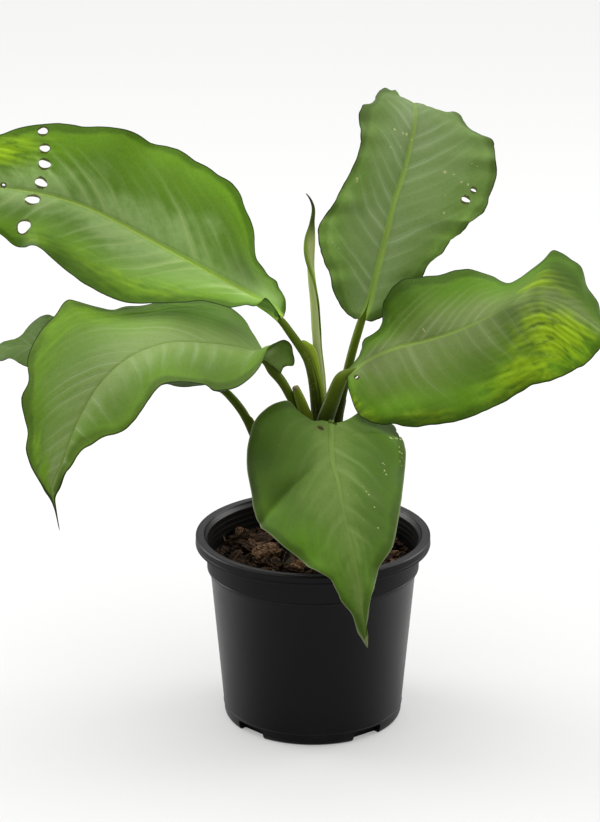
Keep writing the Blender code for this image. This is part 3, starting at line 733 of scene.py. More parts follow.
# route and radii: the centre line from the foot up, with a radius at each place. clasp: between
# which shares of the length the sheath clasps the stalk. opens: the direction that its groove
# opens in. wing: how wide its wings are.
STALKS = {
    "upper_left": {
        "route": [(-1, 5, STALK_FOOT), (0, 5, 116), (2, 4, 150), (3.6, 4, 182), (3.4, 4, 197), (2.4, 4, 209),
                  (1.4, 4.2, 219.5), (-0.4, 5, 229), (-3.4, 6, 238), (-8.8, 7, 246.5), (-15, 7.6, 255.5),
                  (-19.8, 9, 262), (-24.6, 10.7, 265.2), (-30.8, 13.4, 269.3), (-38.8, 16.5, 274.4)],
        "radii": (4.2, 4.2, 4.1, 4.0, 3.9, 3.8, 3.6, 3.4, 3.1, 2.9, 2.7, 2.5, 2.0, 1.3, 0.7),
        "clasp": (0.03, 0.787), "opens": (0.97, 0.20, 0.15), "wing": 4.8,
    },
    "upper_right": {
        "route": [(12, 6, STALK_FOOT), (12, 7, 116), (12.5, 10, 145), (14, 13, 175), (15.5, 15, 194),
                  (17.8, 16, 207), (19.9, 18, 216.3), (21.9, 19.3, 226), (25.4, 22, 239.7), (28.6, 24.8, 250.3),
                  (31.0, 27.3, 257.5), (32.8, 28.4, 262.5), (35.1, 28.9, 270.0), (37.6, 30.3, 279.5)],
        "radii": (3.4, 3.3, 3.2, 3.1, 3.0, 2.9, 2.8, 2.8, 2.8, 2.7, 2.5, 2.0, 1.4, 0.7),
        "clasp": (0.03, 0.60), "opens": (0.25, 0.97, 0.0), "wing": 2.0,
    },
    "right": {
        "route": [(5, -5, STALK_FOOT), (5, -5, 116), (5, -6, 150), (5, -7, 180), (7.2, -8, 200), (11.0, -9, 213),
                  (14.2, -11, 222.9), (16.6, -12, 229.6), (18.4, -12.2, 232.8), (21.6, -11.2, 234.4),
                  (26.0, -10.9, 235.5), (31.6, -9.8, 239.8), (40.2, -8.3, 244.6)],
        "radii": (4.2, 4.2, 4.2, 4.3, 4.7, 4.8, 4.6, 4.3, 3.9, 2.2, 1.7, 1.3, 0.7),
        "clasp": (0.03, 0.79), "opens": (0.25, 0.97, 0.0), "wing": 1.2,
    },
    "front": {
        "route": [(5, -13, STALK_FOOT), (5, -13, 116), (7, -17, 145), (9, -24, 178), (10, -29, 196),
                  (10.3, -34, 204.6), (10.2, -38, 207.2), (10.3, -43, 206.4), (10.5, -50.4, 204.2),
                  (10.7, -60.1, 201.5)],
        "radii": (3.4, 3.3, 3.2, 3.0, 2.7, 2.4, 2.1, 1.8, 1.4, 0.7),
        "clasp": (0.03, 0.45), "opens": (0.0, 1.0, 0.0), "wing": 2.4,
    },
    "left": {
        "route": [(-8, -3, STALK_FOOT), (-8, -3, 116), (-7, -4, 150), (-7, -6, 185), (-9.6, -6, 206),
                  (-14.6, -6, 217.3), (-18.2, -6, 224.5), (-22.2, -5.2, 230), (-26.1, -6.4, 234.4),
                  (-29.7, -8.7, 240.4), (-37, -11.3, 246.3)],
        "radii": (3.2, 3.1, 3.0, 2.9, 2.8, 2.8, 2.9, 3.1, 3.0, 1.9, 0.7),
        "clasp": (0.03, 0.50), "opens": (0.4, 0.9, 0.0), "wing": 2.0,
    },
    "back_left": {
        "route": [(-12, 7, STALK_FOOT), (-12, 7, 116), (-17.4, 8, 138), (-28, 9, 165), (-36.5, 10, 184),
                  (-44.3, 12, 200), (-54, 14.5, 211.8), (-59.4, 16.8, 214.5), (-65.9, 19.5, 218.2),
                  (-75, 22.2, 221.2)],
        "radii": (3.0, 2.9, 2.9, 2.9, 2.9, 2.9, 2.7, 2.0, 1.3, 0.7),
        "clasp": (0.03, 0.712), "opens": (0.85, 0.2, 0.5), "wing": 1.7,
    },
}


def within(values):
    """Keeps values between 0 and 1."""
    return np.clip(values, 0.0, 1.0)


def outward(piece, merge=0.0):
    """Turns every face of a closed piece outwards, after merging points closer than merge."""
    bm = bmesh.new()
    bm.from_mesh(piece.data)
    if merge:
        bmesh.ops.remove_doubles(bm, verts=bm.verts, dist=merge)
    bmesh.ops.recalc_face_normals(bm, faces=bm.faces)
    bm.to_mesh(piece.data)
    bm.free()


def eased_line(line, spread):
    """Evens out a fine line's bends over about spread points, with its ends kept."""
    if line.ndim == 1:
        return eased_line(line[:, None], spread)[:, 0]
    reach = int(spread * 3)
    kernel = np.exp(-0.5 * (np.arange(-reach, reach + 1) / spread) ** 2)
    kernel /= kernel.sum()
    head = 2 * line[0] - line[1:reach + 1][::-1]
    tail = 2 * line[-1] - line[-reach - 1:-1][::-1]
    padded = np.vstack([head, line, tail])
    return np.stack([np.convolve(padded[:, k], kernel, "valid") for k in range(line.shape[1])], axis=1)


def run_along(line):
    """How far along a line each of its points lies."""
    return np.concatenate([[0.0], np.cumsum(np.linalg.norm(np.diff(line, axis=0), axis=1))])


def spaced(stops, fine, count):
    """A curve through stops as count even steps; numbers after x, y and z run along with it."""
    line = smooth_curve(stops, fine)
    run = run_along(line[:, :3])
    even = np.linspace(0.0, run[-1], count)
    return np.stack([np.interp(even, run, column) for column in line.T], axis=1)


def stalk_line(spec, rings):
    """The centre line and radius of a stalk, evenly spaced."""
    line = spaced([(*place, radius) for place, radius in zip(spec["route"], spec["radii"])], 600, rings)
    return eased_line(line[:, :3], 2.0), eased_line(line[:, 3], 3.0)


def petiole(name, spec):
    """The round stalk, slightly grooved on the side that its sheath opens to."""
    rings, around = 150, 32
    path, radii = stalk_line(spec, rings)
    points, faces = [], []
    tube(path, radii, around, points, faces, spec["opens"])
    turn = np.tile(np.arange(around) * math.tau / around, rings)
    share = np.repeat(np.linspace(0.0, 1.0, rings), around)
    ribbed = 1.0 - 0.10 * np.exp(-((np.minimum(turn, math.tau - turn)) / 0.35) ** 2) + 0.008 * np.sin(turn * 9.0)
    centre = np.repeat(path, around, axis=0)
    points = centre + (np.array(points) - centre) * ribbed[:, None]
    piece = skin("petiole_" + name, points, faces)
    mark(piece, along=share, round=turn / math.tau)
    return piece, path, radii


def sheath(name, spec, path, radii):
    """The clasping sheath: a trough round the back of the stalk with two wings beside its groove."""
    rows, half_columns = 90, 14
    low, high = spec["clasp"]
    _, side, other = rings_along(path, spec["opens"])
    f = np.linspace(0.0, 1.0, rows)
    place = (low + (high - low) * f) * (len(path) - 1)
    wing = spec["wing"] * (0.75 + 0.25 * np.cos(7.0 * f)) * within((1.0 - f) / 0.04) ** 0.5
    wing *= 0.48 + 0.72 * np.exp(-((f - 0.955) / 0.075) ** 2)
    hug = 0.45 - 0.60 * within((f - 0.80) / 0.20)
    layers, columns = [], 2 * half_columns + 1
    g = np.linspace(-1.0, 1.0, columns)
    for layer in (0.0, -SHEATH_THICKNESS):
        grid = np.zeros((rows, columns, 3))
        for i in range(rows):
            k = int(round(place[i]))
            radius = radii[k] + hug[i] + layer * (0.3 + 0.7 * (hug[i] > 0))
            angle = within(np.abs(g) / 0.6) * math.radians(SHEATH_WRAP) * np.sign(g)
            reach = within((np.abs(g) - 0.6) / 0.4)
            wave = 0.35 * math.sin(19.0 * f[i]) * reach**2
            forward = -np.cos(angle) * radius + reach * wing[i]
            sideways = np.sin(angle) * radius + np.sign(g) * (0.18 * np.sin(reach * 2.2) * wing[i] + wave)
            grid[i] = path[k] + side[k] * forward[:, None] + other[k] * sideways[:, None]
        layers.append(grid.reshape(-1, 3))
    piece = skin("sheath_" + name, np.concatenate(layers), sum(closed_sheet(rows, columns), []))
    outward(piece)
    along = np.repeat(low + (high - low) * f, columns)
    mark(piece, along=np.tile(along, 2), round=np.tile(g * 0.5, rows * 2), free=np.tile(np.abs(g), rows * 2))
    return piece


def build_stalk_streaks():
    """Lengthwise streaks and clouds, from one colour at the foot to another at the knee, with painted shade low in
    the middle of the clump.
    """
    given = new_group("stalk_streaks", ("Foot", "Middle", "Top", "Streak"))
    along, turn, free = read("along"), read("round"), read("free")
    streaks = cloudy(put("CombineXYZ", {"X": turn * 9.0, "Y": along * 2.2})[0], 3.0, 4.0, 0.6)
    place = put("TexCoord")["Object"]
    clouds = cloudy(place, 45.0, 3.0)
    specks = eased(cloudy(place, 900.0, 2.0), 0.64, 0.72)
    colour = tinted(eased(along, 0.0, 0.30), given["Foot"], given["Middle"])
    colour = tinted(eased(along, 0.55, 0.86), colour, given["Top"])
    for share in (eased(streaks, 0.50, 0.72) * 0.6, specks * 0.6, eased(free, 0.58, 0.82) * 0.9):
        colour = tinted(share, colour, given["Streak"])
    # Painted shade: darker from about 150 to 222 mm up, near the middle of the clump where the stalks stand close.
    x, y, z = parts_of(place)
    from_middle = calc("SQRT", x * x + y * y)
    clump_shade = eased(from_middle, 0.022, 0.036, 1.0, 0.0) * eased(z, 0.203, 0.222, 1.0, 0.0)
    clump_shade = clump_shade * eased(z, 0.150, 0.185, 0.0, 0.42)
    colour = scaled(colour, calc("SUBTRACT", 1.0, clump_shade))
    rough = eased(clouds, 0.3, 0.7, 0.30, 0.44)
    return end_group(Colour=colour, Roughness=rough, Height=streaks + clouds * 0.5)


stalk_streaks = build_stalk_streaks()


def stalk_finish(name, foot, middle, top, streak, cap=None):
    mat = new_finish(name, IOR=1.42, Specular_IOR_Level=0.22)
    made = use_group(stalk_streaks, Foot=foot, Middle=middle, Top=top, Streak=streak)
    colour = made["Colour"]
    if cap:
        colour = tinted(eased(read("along"), 0.955, 0.975), colour, cap)
    return end_finish(mat, made["Height"], 0.5, 0.25, Base_Color=colour, Roughness=made["Roughness"])


stalk_skin = stalk_finish("stalk_skin", (0.060, 0.080, 0.008), (0.052, 0.080, 0.003),
                          (0.132, 0.190, 0.012), (0.146, 0.196, 0.024))
sheath_skin = stalk_finish("sheath_skin", (0.060, 0.080, 0.008), (0.054, 0.084, 0.003),
                           (0.156, 0.222, 0.012), (0.166, 0.224, 0.024))
young_sheath_skin = stalk_finish("young_sheath_skin", (0.060, 0.078, 0.010), (0.052, 0.076, 0.006),
                                 (0.160, 0.215, 0.024), (0.360, 0.490, 0.045))
for name, spec in STALKS.items():
    piece, path, radii = petiole(name, spec)
    coat(piece, stalk_skin)
    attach(piece, "root")
    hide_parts("stalk_" + name)
    wing = sheath(name, spec, path, radii)
    coat(wing, young_sheath_skin if name == "upper_left" else sheath_skin)
    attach(wing, "root")

# Leaf blades
# Each blade is one thin leathery sheet with a midrib that is sunk above and keeled below,
# lateral veins that curve towards the tip, quilting between them and a waved dark margin, its
# thin rim the leaf's own colour and the band within it painted shade where it curls down.
ROWS = 170
SIDE_COLUMNS = 44
SHEET_THICKNESS = 0.5
KNEE_GAP = 0.35
KNEE_HALF_WIDTH = 2.2
HOLE_CORNERS = 26
GROOVE_DEPTH = 0.35
WRINKLE_HEIGHT = 0.42
BACK, UP = 0.331, 0.944
# stations: left margin, midrib and right margin at places from the knee to the tip. trace_left,
# trace_right: at a share of the length in hundredths, how far that margin moves sideways and up
# as the camera sees it, whose upward direction is (0, BACK, UP). pulls: a place, how far the
# sheet is pulled there, and how wide. creases: where a fold starts and ends, along and out from
# the midrib, and its height; the side towards the knee takes painted shade. nicks: share of the
# length, side, depth and width. holes: share of the length, share of the half width, length and
# width. flecks: both shares and a radius. shade, pale, tone and the glow patches: both shares,
# how far each way, and strength. shade is painted shade, pale a painted sheen, tone painted
# light and shade that scale the colour up or down, and the glow painted light where it shines
# on and through the blade, laid over real wrinkles. waves: height, reach and count. scallop:
# depth and count. rib: half width at the knee and at the tip. rib_end: where the midrib has
# faded, in centimetres. slant: how much the lateral veins lean and bend, left and right.
# spacing: from vein to vein. near, deep, bright and dark: colours from the midrib out; near is
# partly a painted sheen. lush: the colour of the painted glow. back: the under face.
LEAVES = {
    "upper_left": {
        "knee": (-19, 8, 264), "tip": (-260, 73, 333), "arch": 0.07, "slot": "leaf_mid", "waves": (1, 0.5, 11),
        "scallop": (0.5, 9), "quilt": 0.34, "rib": (2.6, 0.9), "slant": (0.6, 0.009, 0.9, 0.012), "spacing": 13,
        "rib_end": 24, "near": (0.41, 0.59, 0.215), "deep": (0.17, 0.325, 0.034), "bright": (0.185, 0.37, 0.018),
        "dark": (0.05, 0.115, 0.004), "lush": (0.42, 0.66, 0.025), "vein": (0.48, 0.64, 0.24),
        "midrib": (0.44, 0.62, 0.13), "margin": (0.02, 0.045, 0.006), "back": (0.34, 0.392, 0.105),
        "stations": [((-29, 0, 279), (-28, 12, 269.5), (-21, 18, 281)),
            ((-44, -10, 279), (-41, 17, 277), (-32, 26, 291)), ((-64, -10, 280), (-57, 24, 284), (-38, 37, 313)),
            ((-90, -6, 280), (-78, 32, 294), (-50, 47, 337)), ((-118, 0, 279), (-100, 40, 304), (-73, 56, 351)),
            ((-141, 6, 287), (-122, 48, 314), (-96, 63, 360)), ((-157, 15, 296), (-144, 55, 323), (-125, 69, 371)),
            ((-174, 26, 306), (-168, 61, 329), (-157, 74, 372)), ((-186, 38, 302), (-193, 66, 332), (-186, 77, 369)),
            ((-216, 50, 312), (-218, 69, 334), (-213, 77, 357)), ((-241, 63, 327), (-240, 71, 335), (-239, 75, 345))],
        "trace_left": [(0, 0, 0), (5.9, 0, 0), (9.5, 0.5, 1.1), (11.2, 0.8, -2.3), (12.4, 0.7, -3.1),
            (13.6, 0.5, -2.5), (15.4, 0.1, -0.6), (20.1, -0.2, -2.6), (27.2, 0, 0), (32, 0, -0.2), (37.9, -0.2, -2.7),
            (44.4, -0.5, -1.4), (47.3, -0.7, -1.4), (56.8, -0.1, -0.2), (61.5, -0.1, -0.1), (65.1, -0.4, -0.7),
            (71, 0, 0), (75.1, -0.2, -0.9), (76.3, 0, -0.2), (78.1, 1, 2.4), (79.3, 1.4, 2.9), (85.8, 0, 0),
            (100, 0, 0)],
        "trace_right": [(0, 0, 0), (1.8, 1.1, -0.1), (5.3, -0.6, -0.2), (8.9, -0.8, -0.5), (12.4, 0.4, 0.5),
            (16, 1, 0.7), (18.3, 0.2, 0.1), (20.1, 0.6, 0.1), (22.5, 0.1, 0), (25.4, 1.4, 0.4), (28.4, 0.9, 0.4),
            (31.4, 2.3, 1.2), (33.1, 1.8, 1.1), (37.3, -0.4, -0.6), (40.2, 0.6, 1.3), (42.6, 0.5, 1.1),
            (46.7, 1.2, 2.8), (49.7, 0.9, 2), (52.1, -0.2, -0.4), (56.8, 0.1, 0.2), (61.5, 0, -0.5),
            (63.9, -0.1, -1.7), (68, 0, 1.1), (71, 0, 0.1), (76.3, -0.2, 0.5), (100, 0, 0)],
        "shade": [(0.5, -0.9, 0.28, 0.24, 1), (0.3, 0.96, 0.2, 0.08, 0.3)],
        "pale": [(0.11, 0, 0.12, 0.8, 0.9), (0.02, -0.6, 0.04, 0.7, 0.9), (0.32, -0.35, 0.16, 0.4, 0.6)],
        "tone": [(0.1, -0.3, 0.07, 0.9, 0.3), (0.2, 0.35, 0.06, 0.35, -0.7), (0.58, -0.28, 0.16, 0.3, -0.65),
            (0.42, -0.25, 0.1, 0.22, -0.3), (0.4, -0.85, 0.1, 0.2, 0.4), (0.71, 0.32, 0.07, 0.3, 0.4),
            (0.73, -0.35, 0.09, 0.3, -0.5), (0.3, 0.95, 0.16, 0.14, 0.5), (0.015, -0.6, 0.04, 0.8, 0.6)],
        "nicks": [(0.3, 1, -1.2, 0.02)],
        "pulls": [((-33.4, 29, 298.2), (-2.8, 0, -0.7), 9), ((-22.7, 20, 284.5), (1.1, 0, 0.7), 3.5),
            ((-20.2, 14, 274.6), (2.5, 0, 0.7), 6), ((-99.6, 70, 358), (0.5, 0, 1), 3.5),
            ((-72.7, 60, 350.2), (0.6, 0, 0.8), 4), ((-53.7, 52, 338.7), (1, 0, 1), 4)],
        "holes": [(0.703, 0.88, 6.3, 4.4), (0.693, 0.62, 6.3, 4.4), (0.688, 0.39, 7.6, 5), (0.688, 0.13, 8.2, 4.6),
            (0.697, -0.16, 10.6, 6.2), (0.722, -0.67, 11, 7.6), (0.763, 0.03, 2.6, 2)],
        "glow_and_wrinkles": [(0.8, 0.62, 0.1, 0.3, 1), (0.45, -0.8, 0.22, 0.2, 0.55), (0.66, -0.85, 0.08, 0.2, 0.5)],
    },
    "upper_right": {
        "knee": (31, 26, 257), "tip": (57, 156, 331), "arch": 0.05, "slot": "leaf_dark", "waves": (1, 0.6, 17),
        "scallop": (1.3, 13), "quilt": 0.2, "rib": (3.2, 1), "slant": (0.55, 0.006, 0.6, 0.006), "spacing": 10,
        "rib_end": 20, "near": (0.33, 0.46, 0.18), "deep": (0.27, 0.405, 0.125), "bright": (0.205, 0.34, 0.07),
        "dark": (0.095, 0.165, 0.026), "lush": (0.24, 0.42, 0.045), "vein": (0.46, 0.6, 0.3),
        "midrib": (0.4, 0.58, 0.13), "margin": (0.03, 0.05, 0.014), "back": (0.16, 0.23, 0.06),
        "stations": [((19, 18, 267), (35, 27, 268), (47, 24, 263)), ((12, 12, 286), (39, 30, 284), (65, 27, 282)),
            ((7, 11, 304), (43, 34, 299), (80, 29, 301)), ((3, 13, 321), (47, 37, 315), (93, 31, 314)),
            ((14, 18, 336), (51, 42, 331), (107, 35, 328)), ((25, 28, 356), (57, 51, 347), (114, 46, 348)),
            ((30, 42, 374), (62, 63, 364), (114, 58, 362)), ((32, 60, 387), (65, 78, 378), (98, 76, 372)),
            ((39, 84, 389), (64, 98, 381), (82, 96, 376)), ((50, 112, 382), (62, 120, 372), (71, 118, 368)),
            ((53, 138, 362), (59, 140, 352), (64, 139, 353))],
        "trace_left": [(0, 0, 0), (1.8, -0.8, -1.6), (8.9, -0.4, -0.3), (14.2, -1.8, -0.7), (18.9, 0.2, 0.1),
            (24.9, -1.8, -0.5), (27.2, -1.5, -0.5), (29.6, -0.2, 0), (33.7, -1.1, 0.2), (36.7, 0.4, -0.2),
            (42.6, -1.4, 0.9), (47.9, -0.8, 0.3), (50.9, 0.3, -0.1), (57.4, -0.1, 0), (64.5, -2.5, 0.3),
            (66.3, -1, 0.1), (68.6, 2.7, -2), (70.4, 2.7, -3.2), (73.4, 1.1, -2.1), (75.1, 0.7, -2),
            (76.3, 0.1, -0.8), (78.7, -0.7, 3.1), (79.9, -0.7, 3.9), (80.5, -0.6, 3.5), (82.2, 0.2, 0.5),
            (82.8, 0.4, 0.3), (100, 0, 0)],
        "trace_right": [(0, 0, 0), (1.8, 0.6, -1.9), (2.4, 0.7, -2), (11.8, 0.2, -0.2), (17.8, 1, -0.9),
            (19.5, 0.5, -0.5), (21.9, -1.5, 1.3), (24.3, 0.5, -0.4), (26, 1.2, -1.1), (27.2, 0.6, -0.5),
            (29, -1.2, 1.2), (29.6, -1.3, 1.2), (32.5, 1.4, -1.4), (33.7, 0.8, -0.9), (35.5, -0.9, 1),
            (36.1, -0.8, 0.9), (37.9, 0.8, -0.7), (41.4, 0.3, -0.2), (43.8, 1.5, -0.5), (45.6, 0.5, -0.2),
            (50.3, 2.6, -0.7), (50.9, 2, -0.6), (52.1, -1.1, 0), (53.3, -2.4, 0), (55, -0.9, -0.2), (56.8, 1.3, 0.7),
            (58, 2.1, 1.1), (60.4, 1.5, 0.9), (62.7, -1.3, -1.4), (65.1, -1.7, -2.6), (66.3, -1.1, -1.9),
            (67.5, 0.5, 0.9), (68.6, 1.1, 2.1), (72.2, 0.3, 1), (74.6, -0.4, -1.4), (79.9, 0, 0), (100, 0, 0)],
        "pulls": [((32.2, 60, 388.1), (-1.4, 0, 1), 3.5), ((45.2, 78, 391.8), (0.2, 0, 3.2), 4.5),
            ((53, 84, 388.4), (0.8, 0, 1.2), 2.6), ((69.4, 96, 378.9), (0.6, 0, 1.4), 2.8),
            ((93.5, 96, 373), (1.1, 0, 1.7), 3.2), ((102.6, 84, 365.5), (-0.9, 0, -2), 4.5),
            ((111.4, 70, 363.9), (1.6, 0, 1.7), 4), ((116, 58, 352.7), (-1.9, 0, -0.3), 4.5),
            ((114.5, 52, 347.8), (1.1, 0, -0.3), 2.8), ((106.5, 35, 324.5), (1.2, 0, -1.2), 3),
            ((100.2, 34, 319.6), (1, 0, -1.2), 2.2), ((85.2, 31, 309.4), (1.4, 0, -1.3), 3.2),
            ((73.4, 29, 296.2), (1.5, 0, -1.3), 3.4), ((91.4, 32, 314.9), (-0.6, 0, 0.9), 2.6),
            ((79.6, 30, 303.8), (-0.6, 0, 0.9), 2.6), ((64, 101, 380), (0, -1, -2.7), 4),
            ((73, 96, 380), (0, -1.7, -4.8), 4), ((80, 100, 376), (0, -1, -2.7), 3.6),
            ((84, 88, 377), (0, -0.6, -1.7), 3), ((53, 108, 382), (0.3, 0.9, 2.4), 2.6),
            ((58, 105, 381), (0, -0.3, -0.9), 2.6), ((90, 86, 375), (0, 0.2, 0.6), 3),
            ((64, 108, 378), (0, -0.7, -2.1), 3.5), ((76, 105, 376), (0, -0.9, -2.4), 3.6),
            ((80, 91, 377), (0, -0.8, -2.4), 3.6), ((58, 102, 382), (0, -0.4, -1.2), 2.6)],
        "holes": [(0.432, 0.75, 2.8, 5.8), (0.458, 0.8, 1.5, 4)],
        "pale": [(0.72, 0.85, 0.12, 0.2, 0.5)],
        "tone": [(0.76, 0, 0.25, 2.5, -0.9), (0.3, -0.97, 0.2, 0.25, 0.7), (0.3, 0.97, 0.14, 0.18, 0.5),
            (0.04, -0.4, 0.05, 0.9, 0.6)],
        "glow_and_wrinkles": [(0.3, 0.85, 0.22, 0.16, 0.3), (0.06, 0.2, 0.07, 0.8, 0.3)],
        "flecks": [(0.604, -0.37, 0.9), (0.6, -0.2, 0.8), (0.6, -0.12, 1.1), (0.586, 0, 0.8), (0.556, -0.4, 0.5),
            (0.56, -0.2, 0.6), (0.473, -0.83, 0.9), (0.467, -0.81, 0.9), (0.497, 0.44, 1.2), (0.491, 0.54, 0.7),
            (0.473, 0.65, 0.8), (0.467, 0.72, 0.8), (0.391, 0.59, 0.9), (0.438, 0.52, 0.5), (0.402, -0.72, 0.5),
            (0.29, -0.81, 0.5), (0.272, -0.72, 0.5), (0.521, 0.72, 0.5), (0.515, 0.78, 0.4)],
    },
    "right": {
        "knee": (20, -13, 233), "tip": (187, -19, 257), "arch": 0.05, "slot": "leaf_light", "waves": (0.9, 0.6, 13),
        "scallop": (0.5, 9), "quilt": 0.32, "rib": (1.9, 0.7), "slant": (1.2, 0.012, 0.15, 0.005), "spacing": 9,
        "rib_end": 12, "near": (0.225, 0.3, 0.098), "deep": (0.165, 0.285, 0.036), "bright": (0.13, 0.275, 0.012),
        "dark": (0.05, 0.105, 0.006), "lush": (0.4, 0.6, 0.016), "vein": (0.3, 0.395, 0.16),
        "midrib": (0.27, 0.39, 0.085), "margin": (0.018, 0.038, 0.006), "back": (0.11, 0.17, 0.035),
        "stations": [((28, -3, 243), (31, -11, 241), (25, -24, 221)), ((33, 4, 250), (41, -9, 246), (31, -30, 211)),
            ((43, 10, 260), (53, -7, 250), (44, -32, 207)), ((44, 12, 275), (64, -5, 252), (61, -32, 206)),
            ((57, 16, 287), (76, -4, 255), (81, -30, 207)), ((80, 29, 287), (89, -3, 259), (100, -28, 213)),
            ((104, 38, 286), (103, -2, 265), (118, -26, 221)), ((123, 34, 278), (116, -2, 272), (134, -24, 230)),
            ((141, 30, 291), (129, -3, 278), (147, -24, 236)), ((153, 26, 303), (141, -5, 281), (159, -24, 240)),
            ((168, 16, 296), (154, -8, 278), (168, -23, 246)), ((175, 2, 280), (167, -12, 271), (177, -22, 253))],
        "trace_left": [(0, 0, 0), (7.7, 0.5, -0.4), (13, -1.3, 0.8), (16, -1.6, 1.3), (17.8, -1.1, 0.9),
            (20.7, 1.2, -0.7), (25.4, 0, 0), (36.1, 0, 0), (44.4, 0.1, -1), (46.7, 0, -0.4), (49.1, -0.2, 1.4),
            (53.3, -0.1, -0.7), (55, -0.1, -0.3), (58, 0.6, 1.3), (61.5, 0, 0), (63.9, -0.5, 1.2), (74.6, -0.2, 0.3),
            (77.5, -0.2, -1), (85.2, -0.6, -0.5), (89.3, -2.7, -1.1), (90.5, -2.2, -0.8), (93.5, 0.7, 0.3),
            (95.9, -1.2, -0.5), (100, 0, 0)],
        "trace_right": [(0, 0, 0), (3, -1.4, -0.4), (6.5, -1, -0.3), (11.8, -1.3, -0.8), (17.8, -0.1, -0.2),
            (26, 0.1, 0.9), (33.7, 0, -0.3), (37.9, 0, 0.3), (40.2, 0.1, -0.3), (45.6, 0.1, -0.1), (49.1, 1.1, -2.3),
            (55.6, -0.1, 0.2), (60.4, 0, -0.1), (65.7, 0.7, -1.9), (71, 0.7, -2.4), (74, 0.4, -1.2),
            (76.9, 0.4, -0.8), (88.2, 1.1, -1.4), (93.5, -0.7, 1.3), (100, 0, 0)],
        "shade": [(0.86, -0.62, 0.12, 0.35, 0.9), (0.64, 0.1, 0.05, 0.35, 0.5), (0.5, 0.55, 0.05, 0.3, 0.35),
            (0.74, -0.12, 0.03, 0.3, 0.45)],
        "pale": [(0.52, -0.22, 0.2, 0.22, 0.6), (0.36, 0.3, 0.16, 0.35, 0.4)],
        "tone": [(0.13, -0.2, 0.06, 0.4, -0.6), (0.36, -0.8, 0.12, 0.3, -0.5), (0.79, -0.5, 0.05, 0.4, -0.4),
            (0.81, 0.97, 0.14, 0.22, 0.8), (0.44, 0.8, 0.12, 0.2, 0.5), (0.29, 0.72, 0.06, 0.15, 0.4),
            (0.04, 0.7, 0.04, 0.5, 0.6), (0.25, 0.99, 0.12, 0.1, -0.5), (0.355, 0.9, 0.07, 0.14, -0.8),
            (0.22, 0.82, 0.05, 0.15, 0.4), (0.59, 0.97, 0.05, 0.12, -0.4)],
        "nicks": [(0.12, -1, -1.5, 0.015)],
        "holes": [(0.065, 0.42, 2.6, 1.1)],
        "glow_and_wrinkles": [(0.78, 0.48, 0.16, 0.42, 1), (0.62, 0.8, 0.14, 0.22, 0.75), (0.76, -0.35, 0.1, 0.3, 0.7),
            (0.12, 0.92, 0.12, 0.14, 0.5), (0.34, 0.9, 0.1, 0.14, 0.45), (0.5, -0.93, 0.1, 0.1, 0.2)],
        "flecks": [(0.36, -0.18, 0.6), (0.362, -0.13, 0.6)],
    },
    "front": {
        "knee": (11, -38, 211), "tip": (32, -147, 107), "arch": 0.06, "slot": "leaf_mid", "waves": (0.6, 0.4, 9),
        "scallop": (0.35, 9), "quilt": 0.16, "rib": (1.9, 0.6), "slant": (0.75, 0.01, 0.75, 0.01), "spacing": 15,
        "rib_end": 9, "streaks": 0.35, "near": (0.16, 0.245, 0.052), "deep": (0.098, 0.185, 0.022),
        "bright": (0.102, 0.215, 0.014), "dark": (0.046, 0.082, 0.008), "lush": (0.15, 0.33, 0.012),
        "vein": (0.2, 0.295, 0.082), "midrib": (0.185, 0.285, 0.058), "margin": (0.2, 0.23, 0.13),
        "back": (0.1, 0.15, 0.045),
        "stations": [((37, -14, 207), (11, -47, 207), (-16, -34, 223.5)),
            ((50, -18, 200), (11, -60, 203), (-34, -44, 216)), ((55, -36, 195), (12, -73, 197), (-40, -52, 201)),
            ((55, -58, 185), (15, -86, 190), (-40, -62, 185)), ((52, -84, 175), (17, -98, 181), (-35, -78, 170)),
            ((47, -100, 164), (20, -109, 170), (-23, -98, 159)), ((42, -114, 152), (23, -119, 159), (-6, -114, 149)),
            ((38, -126, 140), (26, -127, 147), (8, -123, 144)), ((34, -133, 131), (28, -134, 134), (16, -132, 132)),
            ((32, -141, 119), (30, -141, 121), (25, -140, 119))],
        "trace_left": [(0, 0, 0), (3, 0, 0.1), (5.9, -0.5, 3.7), (7.7, -0.2, 4.5), (10.7, 0.9, 3.2), (14.2, 1.7, 2.5),
            (16.6, 1.2, 1.4), (17.8, 1.5, 1.5), (23.7, -0.4, -0.3), (26.6, 1.3, 0.3), (42, 0.5, -0.1),
            (46.2, 1.9, -0.4), (49.7, 1.7, -0.4), (54.4, 2.4, -0.8), (59.2, 4, -1.3), (60.4, 3.7, -1.1),
            (67.5, -1.4, 0.3), (75.1, -1.1, 0.4), (81.1, 0.1, 0), (91.1, -0.5, 0), (97, -1.5, 0), (100, 0, 0)],
        "trace_right": [(0, 0, 0), (4.7, -0.5, -0.8), (8.9, 0.4, 1.5), (11.2, -0.1, 0.7), (17.2, -1.1, 1.1),
            (24.3, -0.1, 0), (36.7, -0.5, -0.1), (40.8, 0.3, 0.1), (43.2, -0.3, -0.1), (45.6, -1.5, -1),
            (46.2, -1.9, -1.3), (47.3, -4.4, -3), (47.9, -5.1, -3.4), (50.3, -3.3, -2.1), (53.8, -1.3, -1.1),
            (57.4, -0.9, -0.8), (60.4, 0, 0), (65.7, -0.2, -0.4), (69.8, -0.8, -1.4), (71.6, -0.8, -1.1),
            (74.6, 0.1, 0.1), (81.1, -0.8, -0.3), (82.8, -0.3, -0.1), (86.4, 2, 1.3), (89.9, 0.1, 0.1),
            (93.5, -1.3, -0.7), (100, 0, 0)],
        "shade": [(0.22, 0.85, 0.22, 0.45, 0.6), (0.42, -0.75, 0.25, 0.35, 0.5), (0.92, 0, 0.08, 1, 0.4)],
        "pulls": [((-7, -38, 220), (-1.2, -1.2, -3.5), 7), ((1, -38, 216), (-0.9, -1, -2.9), 5)],
